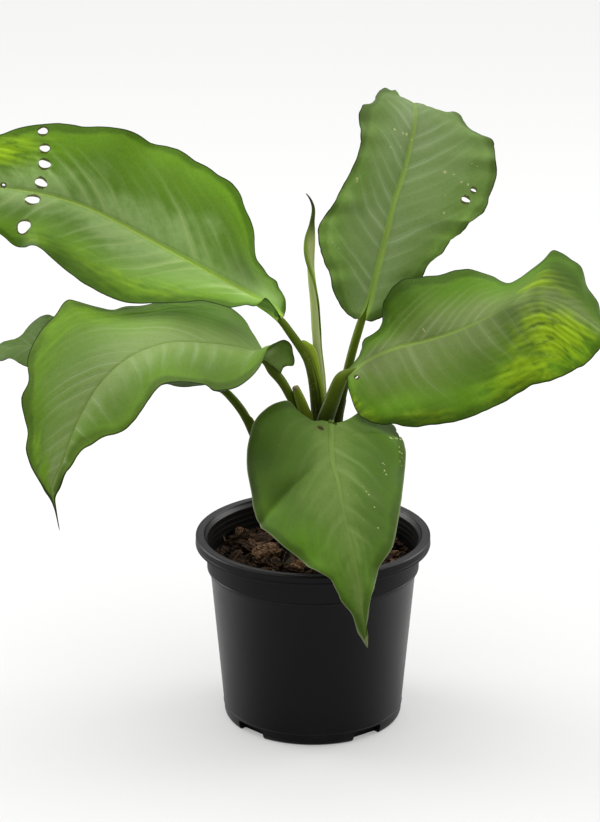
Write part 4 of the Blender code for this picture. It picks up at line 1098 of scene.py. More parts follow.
        "nicks": [(0.478, 1, -2.6, 0.014), (0.505, 1, 1.2, 0.012), (0.205, -1, -0.9, 0.006), (0.8, 1, -1.2, 0.02),
            (0.86, 1, 1.3, 0.02), (0.66, 1, 0.8, 0.015)],
        "creases": [(59.5, 51, 31, 3, -3), (3, -46, 9, -6, 2.2)],
        "holes": [(0.118, 0.22, 1.2, 4.6)],
        "glow_and_wrinkles": [(0.6, 0.45, 0.18, 0.5, 0.4), (0.68, -0.1, 0.15, 0.7, 0.35)],
        "tone": [(0.08, 0.45, 0.06, 0.4, -0.35), (0.5, 0.84, 0.05, 0.22, -0.15), (0.69, 0.7, 0.14, 0.4, 0.35),
            (0.77, -0.8, 0.07, 0.3, 0.5), (0.37, 0.35, 0.06, 0.25, 0.2), (0.325, 0.88, 0.06, 0.28, -0.6),
            (0.455, 0.9, 0.022, 0.16, 0.6), (0.41, 1, 0.05, 0.08, -0.8)],
        "flecks": [(0.243, -0.83, 0.7), (0.249, -0.92, 1.1), (0.254, -0.97, 0.9), (0.246, -0.87, 0.45),
            (0.284, -0.92, 0.45), (0.302, -0.92, 0.55), (0.31, -0.935, 0.4), (0.32, -0.94, 0.55),
            (0.331, -0.92, 0.45), (0.343, -0.94, 0.45), (0.331, -0.67, 0.55), (0.34, -0.69, 0.35), (0.355, -0.7, 0.7),
            (0.36, -0.66, 0.35), (0.367, -0.72, 0.6), (0.42, -0.42, 0.5), (0.402, -0.37, 0.4), (0.43, -0.46, 0.35),
            (0.473, -0.57, 0.45), (0.52, -0.4, 0.35), (0.545, -0.66, 0.4)],
    },
    "left": {
        "knee": (-22, -4, 230), "tip": (-156.4, -64, 149.2), "arch": 0.05, "slot": "leaf_dark",
        "waves": (0.8, 0.5, 12), "scallop": (0.4, 9), "quilt": 0.26, "rib": (1.3, 0.5),
        "slant": (0.15, 0.006, 1.3, 0.02), "spacing": 11, "rib_end": 30, "near": (0.25, 0.35, 0.115),
        "deep": (0.18, 0.295, 0.06), "bright": (0.15, 0.275, 0.026), "dark": (0.065, 0.11, 0.016),
        "lush": (0.2, 0.37, 0.02), "vein": (0.3, 0.4, 0.17), "midrib": (0.22, 0.31, 0.08),
        "margin": (0.02, 0.036, 0.008), "back": (0.225, 0.285, 0.012),
        "stations": [((-11.5, -16, 239), (-26, -6, 237), (-27, 7, 236)),
            ((-11.5, -29, 258), (-29, -8, 242), (-32, 14, 240)), ((-24, -42, 265.5), (-34, -10, 246), (-36, 21, 247)),
            ((-33, -50, 252), (-41, -12, 250), (-43, 27, 255)), ((-45, -56, 244), (-53, -15, 254), (-56, 30, 265)),
            ((-61, -60, 240), (-70, -19, 257), (-75, 28, 270)), ((-77, -62, 244), (-87, -24, 259), (-96, 24, 270)),
            ((-93, -63, 243), (-104, -30, 256), (-121, 16, 267)),
            ((-104, -63, 230), (-119, -37, 249), (-143, 6, 273)),
            ((-116, -62, 215), (-132, -43, 237), (-159, -8, 273)),
            ((-130, -61, 210), (-141, -48, 223), (-173, -26, 256)),
            ((-144, -60, 200), (-148, -52, 209), (-176, -42, 232)),
            ((-151, -60, 189), (-154, -56, 192), (-177, -50, 204)),
            ((-156, -60, 178.1), (-160.5, -59, 177.7), (-164.9, -57, 177)),
            ((-158.9, -62, 169), (-159.9, -62, 169), (-161, -62, 169))],
        "trace_left": [(0, 0, 0), (1.8, -1.3, 1.6), (3.6, -0.9, 1.2), (5.3, -1.6, 1.8), (7.1, -0.7, 0.4),
            (10.1, -0.1, 0), (12.4, -0.3, -0.2), (16, 0.2, 0.7), (18.3, 0.2, -0.8), (21.3, -0.4, 0.2),
            (26, 0.8, -0.7), (29.6, 0.6, -1), (33.7, 0.7, -2.7), (37.3, 0.2, -1.5), (39.1, 0.2, 1.6), (39.6, 0.2, 2),
            (44.4, 0.1, 1), (52.1, -0.9, 1), (55, -0.2, 0.2), (59.2, 2.1, -2.1), (66.9, 0, -0.1), (71.6, 0.7, -1.2),
            (74, 0.7, -0.9), (78.7, 1.7, -1.1), (82.2, 0.5, -0.3), (89.3, 1.1, -0.4), (93.5, 0, 0), (100, 0, 0)],
        "trace_right": [(0, 0, 0), (12.4, 0.1, 0), (17.2, -1.7, -1.2), (21.9, 0.8, 0.7), (24.3, 1.5, 1.1),
            (32, 0.4, 0.9), (37.9, 0, 0), (48.5, -0.1, 1.6), (49.7, 0, 0.8), (50.9, -0.1, -0.9), (52.1, -0.1, -1.5),
            (54.4, 0, -0.2), (57.4, -0.2, 2.5), (59.2, -0.9, 3.4), (60.9, -1.1, 2.2), (63.3, 0.1, -0.1),
            (70.4, -2, 0.5), (71, -1.9, 0.5), (72.8, 0.5, -0.1), (74, 1.1, -0.2), (76.9, -2, 0), (79.9, 1, 0.1),
            (80.5, 0.9, 0.1), (82.2, -2.2, -0.7), (84.6, -3.1, -1.2), (94.7, -0.1, -0.1), (100, 0, 0)],
        "shade": [(0.9, -0.1, 0.08, 0.9, 0.3)],
        "pulls": [((-10.8, -25, 252.5), (-1.4, 0, -0.4), 8), ((-14.5, -11, 235.5), (-2.2, 0, 1.7), 4.6),
            ((-12.5, -16, 240.1), (0.5, 0, -0.4), 2.4), ((-151.1, -2, 277.6), (0, 0, 1.7), 6),
            ((-125.6, 16, 268.1), (0, 0, -1.2), 6), ((-177.6, -44, 230.4), (-1.6, 0, 0), 5),
            ((-175, -36, 236.7), (1.1, 0, 0), 4), ((-176.2, -50, 197.3), (-0.4, 0, 0), 5),
            ((-62, -50, 239.6), (0, 0, -1), 4), ((-27, -33, 260), (0, -0.9, -2.6), 4.5)],
        "pale": [(0.4, 0.2, 0.2, 0.35, 0.5)],
        "tone": [(0.4, 0.6, 0.11, 0.26, 1), (0.345, 0.45, 0.05, 0.28, 0.7), (0.42, 0.88, 0.08, 0.2, 0.45),
            (0.8, 0, 0.13, 2, 0.42), (0.7, -0.97, 0.16, 0.2, 0.6), (0.06, 0, 0.09, 2.5, 0.9),
            (0.148, -0.25, 0.02, 0.25, 0.6), (0.37, -0.7, 0.08, 0.3, -0.4)],
        "glow_and_wrinkles": [(0.55, 0.85, 0.22, 0.22, 0.6), (0.3, 0.9, 0.15, 0.2, 0.3), (0.86, 0.6, 0.08, 0.35, 0.7),
            (0.12, -0.9, 0.08, 0.25, 0.3)],
    },
    "back_left": {
        "knee": (-54, 14, 214), "tip": (-220, 62, 214), "arch": 0.05, "slot": "leaf_mid", "waves": (0.8, 0.5, 10),
        "scallop": (0.5, 8), "quilt": 0.2, "rib": (1.4, 0.5), "slant": (0.8, 0.01, 0.8, 0.01), "spacing": 8,
        "rib_end": 30, "near": (0.11, 0.185, 0.04), "deep": (0.088, 0.155, 0.024), "bright": (0.082, 0.155, 0.016),
        "dark": (0.06, 0.11, 0.012), "lush": (0.14, 0.25, 0.02), "vein": (0.16, 0.24, 0.08),
        "midrib": (0.15, 0.24, 0.05), "margin": (0.022, 0.04, 0.01), "back": (0.11, 0.17, 0.045),
        "stations": [((-66, 2, 220), (-68, 20, 221), (-69, 34, 232)),
            ((-83, -4, 221), (-91, 26, 226), (-95, 50, 241)), ((-109, 2, 222), (-116, 33, 230), (-124, 62, 244)),
            ((-134, 10, 224), (-141, 40, 232), (-150, 70, 244)), ((-160, 20, 224), (-162, 46, 234), (-172, 74, 245)),
            ((-183, 32, 224), (-183, 52, 232), (-187, 72, 234)), ((-198, 46, 224), (-202, 58, 226), (-201, 66, 229))],
        "trace_left": [(0, 0, 0), (3, -0.4, -1.4), (8.9, -0.2, -1.4), (10.7, -0.1, -0.5), (13, -0.1, 2.2),
            (14.2, -0.1, 2.5), (24.9, 0.1, 0.9), (27.2, 0.1, 0.8), (29.6, 0, 1.6), (32, 0, 0.6), (37.3, 0, 0.1),
            (66.3, 0, 0), (72.8, -0.1, -1.1), (77.5, 0.2, 0.6), (84.6, 0.5, 1.8), (85.8, 0.3, 1.4), (87.6, 0, -0.6),
            (88.8, 0, -1.1), (100, 0, 0)],
        "trace_right": [(0, 0, 0), (50.9, 0, 0), (59.8, -0.4, -2), (63.3, 0.1, -0.5), (65.7, -0.5, 0.6),
            (68.6, -1, 1.1), (74, -0.7, 0.9), (78.1, 0.3, -0.9), (81.1, 0.6, -1.5), (86.4, 0, 0), (89.9, 0.8, -1.1),
            (95.3, 0, 0), (100, 0, 0)],
        "shade": [(0.5, 0, 0.6, 1.2, 0.3)],
        "glow_and_wrinkles": [(0.5, 0.8, 0.3, 0.3, 0.3)],
    },
}


def blade_lines(leaf):
    """Left margin, midrib and right margin, from the knee to the tip."""
    knee = np.array(leaf["knee"], dtype=float)
    left, rib, right = (np.array(line, dtype=float) for line in zip(*leaf["stations"]))
    along = unit(rib[0] - knee)
    across = left[0] - right[0]
    across = unit(across - along * np.dot(across, along))
    base = knee + along * KNEE_GAP
    half = across * KNEE_HALF_WIDTH
    tip = np.array(leaf["tip"], dtype=float)
    lines = ([base + half, *left, tip], [base, *rib, tip], [base - half, *right, tip])
    return [eased_line(smooth_curve(line, ROWS), 2.6) for line in lines]


def margin_wave(leaf, share, side):
    """The uneven waves, scallops and nicks of a margin, in millimetres up and out."""
    height, reach, count = leaf["waves"]
    start = 2.0 if side < 0 else 7.0
    swell = np.sin(np.pi * within(share)) ** 0.5
    up = sum(np.sin(math.tau * count * k * share + start * k) / k for k in (0.43, 0.71, 1.0))
    out = sum(np.sin(math.tau * count * k * share + start * k + 1.0) / k for k in (0.6, 1.0, 1.7))
    size, lobes = leaf["scallop"]
    turn = np.pi * lobes * share + start + 0.8 * np.sin(4.1 * np.pi * share + start)
    scallops = size * (np.abs(np.sin(turn)) ** 0.6 - 0.75)
    push = (reach * 0.5 * out + scallops) * swell
    for place, nick_side, depth, wide in leaf.get("nicks", ()):
        if nick_side * side > 0:
            push = push + depth * np.exp(-((share - place) / wide) ** 2)
    return height * 0.6 * up * swell, push


def across_shares():
    steps = (np.arange(1, SIDE_COLUMNS + 1) / SIDE_COLUMNS) ** 1.25
    return np.concatenate([-steps[::-1], [0.0], steps])


def facing(points):
    """The upper side's direction at each point of a grid of points."""
    down_rows = np.gradient(points, axis=0)
    over_columns = np.gradient(points, axis=1)
    direction = np.cross(over_columns, down_rows)
    size = np.linalg.norm(direction, axis=2)
    size[size < 1e-9] = 1.0
    direction /= size[..., None]
    direction[-1] = direction[-2]
    direction[-1] = direction[-1].mean(axis=0)
    return direction


def crease_lift(leaf, along, out):
    """The ridge of a fold, sharp at its line; also the painted shade on the side towards the knee."""
    lift, shade = np.zeros_like(along), np.zeros_like(along)
    for along_a, out_a, along_b, out_b, height in leaf.get("creases", ()):
        a, b = np.array((along_a, out_a)), np.array((along_b, out_b))
        line = (b - a) / np.linalg.norm(b - a)
        place = ((along - a[0]) * line[0] + (out - a[1]) * line[1]) / np.linalg.norm(b - a)
        knee_side = np.array((-line[1], line[0]))
        knee_side = knee_side if knee_side[0] < 0 else -knee_side
        off = (along - a[0]) * knee_side[0] + (out - a[1]) * knee_side[1]
        gentle = np.exp(-np.abs(off) / 16.0)
        steep = 1.6 * np.exp(-np.abs(off) / 6.0) - 0.6 * np.exp(-np.abs(off) / 18.0)
        window = within((1.1 - place) / 0.8) * within(place + 1.3)
        lift = lift + height * window * np.where(off < 0, gentle, steep)
        shade = np.maximum(shade, window * within(off / 1.5 + 0.5) * np.exp(-np.abs(off) / 30.0))
    return lift, shade


def blobs(places, share, across):
    """Soft patches at given shares of the length and the half width."""
    total = np.zeros((len(share), len(across)))
    for place, side, long, wide, strength in places:
        blob = ((share[:, None] - place) / long) ** 2 + ((across[None, :] - side) / wide) ** 2
        total = np.maximum(total, strength * np.exp(-blob))
    return total


def traced(leaf, share, across, points):
    """Moves each margin sideways and up, as seen from the front, by steps given along its length (in hundredths)."""
    for key, side in (("trace_left", -1.0), ("trace_right", 1.0)):
        steps = np.array(leaf.get(key, ((0, 0, 0), (100, 0, 0))), dtype=float)
        moved = np.stack([np.interp(share * 100.0, steps[:, 0], steps[:, k]) for k in (1, 2)], axis=1)
        near_margin = within((across * side - 0.4) / 0.6) ** 1.5
        moved = eased_line(moved, 0.7)[:, None, :] * near_margin[None, :, None]
        points = points + np.stack([moved[..., 0], BACK * moved[..., 1], UP * moved[..., 1]], axis=2)
    return points


def blade_points(leaf):
    """The upper face as rows x columns of points, with the coordinates that the finish reads."""
    left, rib, right = blade_lines(leaf)
    share = np.linspace(0.0, 1.0, ROWS)
    across = across_shares()
    ahead = unit(np.gradient(rib, axis=0))
    length = run_along(rib)
    up = np.cross(right - left, ahead)
    up[-1] = up[-2]
    up = eased_line(unit(up), 3.0)
    points = np.zeros((ROWS, len(across), 3))
    out, along, edge, vein = (np.zeros(points.shape[:2]) for _ in range(4))
    slant = leaf["slant"]
    for j, a in enumerate(across):
        reach = abs(a)
        arm = (left if a < 0 else right) - rib
        width = np.linalg.norm(arm, axis=1)
        lift, push = margin_wave(leaf, share, a)
        outward = arm / np.maximum(width, 1e-6)[:, None]
        rise = leaf["arch"] * width * 4.0 * reach * (1.0 - reach) + lift * reach**3
        points[:, j] = rib + arm * reach + outward * (push * reach**6)[:, None] + up * rise[:, None]
        forward = np.sum(arm * reach * ahead, axis=1)
        out[:, j] = np.linalg.norm(arm * reach - ahead * forward[:, None], axis=1)
        along[:, j] = length + forward
        edge[:, j] = width * (1.0 - reach)
        lean, bend = slant[:2] if a < 0 else slant[2:]
        vein[:, j] = along[:, j] - lean * out[:, j] - bend * out[:, j] ** 2
    edge = np.minimum(edge, (length[-1] - length)[:, None])
    side = np.where(across < 0, -1.0, 1.0)
    for centre, shift, radius in leaf.get("pulls", ()):
        far = np.linalg.norm(points - np.array(centre, dtype=float), axis=2)
        points += np.array(shift) * np.exp(-((far / radius) ** 2))[..., None]
    points = traced(leaf, share, across, points)
    lift, shade = crease_lift(leaf, along, out * side)
    points += facing(points) * lift[..., None]
    drift = 0.9 * np.sin(vein * 0.31 + side) + 0.8 * np.sin(vein * 0.13 + 2.0 * side)
    vein = (vein + drift) / leaf["spacing"] + np.where(across < 0, 0.37, 20.0)
    base, tip = leaf["rib"]
    rib_half = (base + (tip - base) * share**0.7)[:, None] * np.ones_like(out)
    lane = out / rib_half
    strong = 0.55 + 0.45 * np.sin(np.floor(vein + 0.5) * 12.9898)
    inner = within((lane - 0.8) / 1.5) * np.sin(np.pi * share)[:, None] ** 0.3
    calm = within(edge / 9.0) * inner
    sides = np.abs(np.sin(np.pi * vein)) ** 0.7 - 0.65
    quilt = strong * sides + 0.22 * (np.abs(np.sin(np.pi * 4.0 * vein)) - 0.6)
    groove = np.exp(-(lane * 1.15) ** 4) * within(edge / 3.0) * (1.0 - 0.7 * share)[:, None]
    points = points + facing(points) * (leaf["quilt"] * calm * quilt - GROOVE_DEPTH * groove)[..., None]
    # Painted light: patches where light shines on and through the blade; the wrinkles laid in them below are real
    # relief.
    glow_and_wrinkles = blobs(leaf["glow_and_wrinkles"], share, across)
    shade = np.maximum(0.8 * shade, blobs(leaf.get("shade", ()), share, across))
    calm = calm * within(glow_and_wrinkles)
    wrinkle = np.sin(out * 1.5 + 2.4 * np.sin(along * 0.11)) + 0.6 * np.sin(out * 0.8 - along * 0.07)
    points = points + facing(points) * (WRINKLE_HEIGHT * calm * wrinkle)[..., None]
    keel = np.sqrt(np.clip(1.0 - (lane * 0.62) ** 2, 0, None)) * rib_half * 1.25
    thick = SHEET_THICKNESS * (0.45 + 0.55 * within(edge / 2.5)) + keel * within(edge / 2.0)
    marks = {"vein": vein, "out": out * 0.1, "reach": np.abs(across)[None, :] * np.ones_like(vein),
             "edge": edge, "lane": lane, "glow_and_wrinkles": glow_and_wrinkles, "shade": shade, "run": along * 0.1}
    # Painted sheen: pale patches that lighten the colour towards the near tone.
    marks["pale"] = blobs(leaf.get("pale", ()), share, across)
    # Painted light and shade: the tone patches add up to how far the colour is brightened or darkened.
    marks["tone"] = np.zeros_like(marks["pale"])
    for place, side, long, wide, strength in leaf.get("tone", ()):
        marks["tone"] += strength * blobs([(place, side, long, wide, 1.0)], share, across)
    return points, facing(points), thick, marks


def blade(name, leaf):
    """The closed sheet: upper face, under face and rim."""
    top, up, thick, marks = blade_points(leaf)
    points = np.concatenate([top.reshape(-1, 3), (top - up * thick[..., None]).reshape(-1, 3)])
    parts = closed_sheet(*thick.shape)
    slots = [slot for slot, part in zip((0, 1, 0), parts) for _ in part]
    piece = skin("blade_sheet_" + name, points, sum(parts, []), slots)
    mark(piece, **{key: np.tile(value.ravel(), 2) for key, value in marks.items()})
    outward(piece, merge=0.00002)
    return piece


def place_on(leaf, share, reach):
    """A point of the upper face, with the directions to the tip, to the side and up there."""
    top, up, _, _ = blade_points(leaf)
    i = int(round(share * (ROWS - 1)))
    j = int(np.argmin(np.abs(across_shares() - reach)))
    forward = top[min(i + 2, ROWS - 1), SIDE_COLUMNS] - top[max(i - 2, 0), SIDE_COLUMNS]
    normal = up[i, j]
    forward = unit(forward - normal * np.dot(forward, normal))
    return top[i, j], forward, np.cross(normal, forward), normal


def punch(piece, leaf):
    """Cuts the torn, slightly uneven holes through the sheet."""
    bm = bmesh.new()
    for number, (share, reach, length, width) in enumerate(leaf["holes"]):
        centre, forward, side, up = place_on(leaf, share, reach)
        low, high = [], []
        for k in range(HOLE_CORNERS):
            turn = math.tau * k / HOLE_CORNERS
            uneven = 1.0 + 0.09 * math.sin(2 * turn + number) + 0.07 * math.sin(3 * turn + 2.0 * number)
            offset = forward * math.cos(turn) * length / 2 * uneven + side * math.sin(turn) * width / 2 * uneven
            low.append(bm.verts.new((centre + offset - up * 4.0) * MM))
            high.append(bm.verts.new((centre + offset + up * 3.0) * MM))
        for k in range(HOLE_CORNERS):
            n = (k + 1) % HOLE_CORNERS
            bm.faces.new((low[k], low[n], high[n], high[k]))
        bm.faces.new(high)
        bm.faces.new(list(reversed(low)))
    bmesh.ops.recalc_face_normals(bm, faces=bm.faces)
    joined_or_cut(piece, tool_of(bm, "hole_punch"), "DIFFERENCE")


TONES = ("Near", "Deep", "Bright", "Dark", "Lush", "Vein", "Midrib", "Margin")


def build_leaf_tissue():
    """The colour, gloss and fine relief of a leaf face, from the numbers stored on its points."""
    given = new_group("leaf_tissue", TONES, ("Strength", "Rib End", "Streaks", "Tone"))
    near, deep, bright, dark, lush, veined, ribbed, margin = (given[key] for key in TONES)
    strength, rib_end = given["Strength"], given["Rib End"]
    vein, out, reach, run = (read(key) for key in ("vein", "out", "reach", "run"))
    edge, lane, glow_and_wrinkles, shade = (read(key) for key in ("edge", "lane", "glow_and_wrinkles", "shade"))
    place = put("TexCoord")["Object"]
    clouds = cloudy(place, 30.0)
    blotches = cloudy(place, 160.0, 4.0, 0.65)
    mottle = cloudy(place, 520.0, 2.0, 0.5)
    vein = vein + (cloudy(place, 26.0, 2.0) - 0.5) * 1.1 * eased(reach, 0.05, 0.5)
    streaks = cloudy(put("CombineXYZ", {"X": vein, "Y": out * 0.35})[0], 1.5)
    ripples = cloudy(put("CombineXYZ", {"X": run * 0.34, "Y": out * 1.25})[0], 1.6)
    # From the midrib outwards: near, which is partly a painted sheen, deep, bright, and dark before the margin.
    depth = reach + ((streaks - 0.5) * 0.5 + (clouds - 0.5) * 0.9)
    colour = tinted(eased(depth, 0.02, 0.50), near, deep)
    colour = tinted(eased(depth, 0.42, 0.85), colour, bright)
    colour = tinted(eased(blotches, 0.42, 0.72, 0.0, 0.26), colour, deep)
    colour = tinted(eased(mottle, 0.40, 0.75, 0.0, 0.10), colour, dark)
    # Painted sheen: the pale patches lighten the colour towards the near tone, in streaks.
    colour = tinted(read("pale") * eased(streaks, 0.25, 0.75, 0.45, 0.95), colour, near)
    # Painted shade where the margin curls down: a darker band a few millimetres wide inside the edge.
    band = edge - (clouds - 0.35) * 14.0
    colour = tinted(eased(band, 0.5, 4.8, 0.62, 0.0), colour, dark)
    # Painted light where it shines on and through the blade: yellow-green glow patches over real wrinkles, with
    # painted shade in their furrows.
    patch = glow_and_wrinkles + (ripples - 0.5) * (given["Streaks"] * 1.5) + (blotches - 0.5) * 0.5
    colour = tinted(eased(patch, 0.05, 1.15) * eased(glow_and_wrinkles, 0.02, 0.45), colour, lush)
    furrow_shade = eased(ripples, 0.46, 0.34) * eased(glow_and_wrinkles, 0.25, 0.8, 0.0, 0.45) * given["Streaks"]
    colour = tinted(furrow_shade, colour, dark)
    # Lateral veins with a pale halo, each of its own strength, then the net between them.
    number = calc("FLOOR", vein + 0.5)
    luck = put("TexWhiteNoise", {"W": number}, noise_dimensions="1D")["Value"]
    phase = calc("ABSOLUTE", vein - number)
    force = eased(reach, 0.25, 0.90, 1.0, 0.12) * eased(luck, 0.0, 1.0, 0.12, 1.0)
    force = force * (strength * eased(glow_and_wrinkles, 0.2, 0.7, 1.0, 0.2))
    force = force * eased(run, rib_end * 0.6, rib_end * 1.25, 1.0, 0.25)
    line = eased(phase, 0.0, 0.085, 1.0, 0.0) * force
    halo = eased(phase, 0.0, 0.34, 1.0, 0.0) * force * eased(reach, 0.0, 0.9, 0.78, 0.14)
    colour = tinted(calc("ADD", line * 0.20, halo, clamp=True), colour, veined)
    net = put("TexVoronoi", {"Vector": place, "Scale": 420.0}, feature="DISTANCE_TO_EDGE")["Distance"]
    net = eased(net, 0.0, 0.12, 0.05, 0.0) * strength
    colour = tinted(net, colour, veined)
    # The midrib and the dark line beside it, pale specks, painted shade at folds and in the shade patches, painted
    # light and shade from the tone patches, and the margin.
    beside = eased(lane, 0.95, 1.2) * eased(lane, 1.3, 2.0, 0.20, 0.0)
    colour = tinted(beside, colour, deep)
    shown = eased(run, rib_end * 0.5, rib_end, 1.0, 0.25)
    colour = tinted(eased(lane, 0.55, 1.15, 1.0, 0.0) * shown, colour, ribbed)
    specks = put("TexVoronoi", {"Vector": place, "Scale": 190.0, "Randomness": 1.0})
    chosen = calc("GREATER_THAN", put("SeparateColor", {0: specks["Color"]})[0], 0.84)
    colour = tinted(eased(specks["Distance"], 0.03, 0.10, 0.6, 0.0) * chosen, colour, (0.36, 0.42, 0.20))
    colour = tinted(shade * 0.85, colour, dark)
    # Painted light and shade: the upper face's colour is scaled by two to the power of its tone.
    colour = scaled(colour, calc("POWER", 2.0, read("tone") * given["Tone"]))
    colour = tinted(eased(edge, 0.25, 1.1, 0.9, 0.0), colour, margin)
    rough = eased(streaks, 0.3, 0.7, 0.40, 0.54) + line * 0.05
    cells = put("TexVoronoi", {"Vector": place, "Scale": 900.0})["Distance"]
    height = streaks * 0.8 - line * 0.8 + cells * 0.12 + blotches * 0.9 + mottle * 0.30
    height = height + ripples * eased(glow_and_wrinkles, 0.1, 0.8, 0.0, 3.6) - net
    return end_group(Colour=colour, Roughness=rough, Height=height)


def build_spot():
    """A mask round one place: full within its radius, gone a little beyond it."""
    given = new_group("spot", values=("X", "Y", "Z", "Inner", "Outer"), results=("Mask",))
    place = put("TexCoord")["Object"]
    centre = put("CombineXYZ", {key: given[key] for key in "XYZ"})[0]
    far = put("VectorMath", {0: place, 1: centre}, operation="DISTANCE")["Value"]
    uneven = (cloudy(place, 900.0, 2.0) - 0.5) * 0.0022
    return end_group(Mask=eased(far + uneven, given["Inner"], given["Outer"], 1.0, 0.0))


leaf_tissue = build_leaf_tissue()
spot = build_spot()


def spotted(leaf, colour, share, reach, inner, outer, strength, tint):
    """Lays one round spot over the colour; inner and outer radius in millimetres."""
    x, y, z = (float(v) * MM for v in place_on(leaf, share, reach)[0])
    mask = use_group(spot, X=x, Y=y, Z=z, Inner=inner * MM, Outer=outer * MM)["Mask"]
    return tinted(mask * strength, colour, tint)


def leaf_finish(name, leaf, upper):
    """One face of a leaf; the under face takes its tones from one back colour."""
    mat = new_finish(name, IOR=1.45, Specular_IOR_Level=0.20 if upper else 0.04)
    back = np.array(leaf["back"])
    tones = [back * 1.15, back * 0.9, back, back * 0.75, back * 1.3, back * 1.5 + 0.01, back * 1.6 + 0.01,
             leaf["margin"]]
    if upper:
        tones = [leaf[key.lower()] for key in TONES]
    made = use_group(leaf_tissue, Strength=1.0 if upper else 0.8, Rib_End=leaf["rib_end"] if upper else 50.0,
                     Streaks=leaf.get("streaks", 1.0), Tone=1.0 if upper else 0.0, **dict(zip(TONES, tones)))
    colour = made["Colour"]
    for share, reach, length, width in leaf.get("holes", ()):
        size = (length + width) * 0.25
        colour = spotted(leaf, colour, share, reach, size + 0.4, size + 1.2, 0.8, (0.085, 0.060, 0.022))
    for share, reach, size in leaf.get("flecks", ()) if upper else ():
        colour = spotted(leaf, colour, share, reach, size * 0.40, size * 1.2, 0.85, (0.54, 0.56, 0.26))
    bump = 0.6 if upper else 0.8
    return end_finish(mat, made["Height"], bump, 0.30, Base_Color=colour, Roughness=made["Roughness"])


for name, leaf in LEAVES.items():
    piece = blade(name, leaf)
    if "holes" in leaf:
        punch(piece, leaf)
    piece.data.shade_smooth()
    coat(piece, leaf_finish("leaf_" + name + "_upper", leaf, True),
         leaf_finish("leaf_" + name + "_under", leaf, False), sharp=60.0)
    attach(piece, "root")
    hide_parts("blade_" + name)

# Rolled new leaf
# The youngest leaf, still wound up on its own stalk: one margin laps over the other in a
# loose spiral that bulges here and there and runs out in a thin dry tip.
ROLL = [  # x, y, z and radius at places from the foot to the tip
    (4.0, 12, STALK_FOOT, 3.1), (4.0, 12, 116, 3.1), (5.0, 12, 150, 3.0), (5.8, 12, 185, 3.0), (5.6, 12, 208, 3.0),
    (5.0, 12, 222, 2.95), (4.0, 12, 232, 2.9), (2.8, 12, 242, 2.85), (2.0, 12, 252, 2.8), (1.5, 12, 258, 2.75),
    (1.1, 12, 265, 2.7), (0.7, 12, 271, 2.65), (0.1, 12, 278, 2.55), (-0.6, 12, 284.4, 2.45), (-1.2, 12, 291, 2.35),
    (-1.6, 12, 297, 2.3), (-1.5, 12, 304, 2.3), (-1.2, 12, 310.4, 2.3), (-0.9, 12, 316.8, 2.1),
    (-0.7, 12, 321.5, 1.7), (-0.5, 12, 326, 1.25), (0.0, 12, 329.7, 1.1), (0.2, 12, 333, 1.0),
    (-0.4, 12, 336.5, 0.85), (-2.1, 12, 340.4, 0.55), (-4.4, 12, 343.4, 0.3),
]
# Height, where the free margin stands round the roll (0 = towards +X, 90 = towards the front)
# and how far it stands off.
FREE_MARGIN = [
    (100, 40, 0.1), (215, 30, 0.1), (238, 35, 0.1), (248, 30, 0.3), (256, 24, 0.8), (264, 24, 0.7), (272, 28, 0.9),
    (284, 50, 0.4), (292, 100, 0.2), (300, 150, 1.6), (308, 178, 2.6), (316, 186, 2.3), (322, 180, 0.6),
    (328, 200, 0.3), (345, 240, 0.1),
]
TURNS_ROUND = 1.12


def rolled_leaf():
    """A thick sheet wound a little more than once round; its lapping margin is free."""
    rings, around = 300, 60
    path = eased_line(spaced([stop[:3] for stop in ROLL], 900, rings), 2.0)
    _, _, stops, sizes = zip(*ROLL)
    radii = eased_line(np.interp(path[:, 2], stops, sizes), 2.0)
    heights, turns, gaps = zip(*FREE_MARGIN)
    start = np.radians(eased_line(np.interp(path[:, 2], heights, turns), 4.0))
    stand = eased_line(np.interp(path[:, 2], heights, gaps), 3.0)
    _, side, other = rings_along(path, (1.0, 0.0, 0.0))
    wrap = np.linspace(0.0, 1.0, around)
    layers = []
    for layer in (0.0, 1.0):
        grid = np.zeros((rings, around, 3))
        for k in range(rings):
            thick = min(0.34, radii[k] * 0.3)
            turn = start[k] - wrap * (math.tau * TURNS_ROUND)
            lifted = stand[k] * np.exp(-(wrap * 9.0) ** 2)
            inside = within((wrap - 0.86) / 0.10) * (thick + 0.1)
            radius = radii[k] + lifted - inside - layer * thick
            towards = np.cos(turn)[:, None] * side[k] - np.sin(turn)[:, None] * other[k]
            grid[k] = path[k] + towards * radius[:, None]
        layers.append(grid.reshape(-1, 3))
    piece = skin("rolled_new_leaf", np.concatenate(layers), sum(closed_sheet(rings, around), []))
    outward(piece)
    along = (path[:, 2] - path[0, 2]) / (path[-1, 2] - path[0, 2])
    lapping = np.outer(within((along - 0.5) / 0.1), np.exp(-wrap * 14.0)).ravel()
    mark(piece, along=np.tile(np.repeat(along, around), 2), round=np.tile(wrap, rings * 2), free=np.tile(lapping, 2))
    return piece


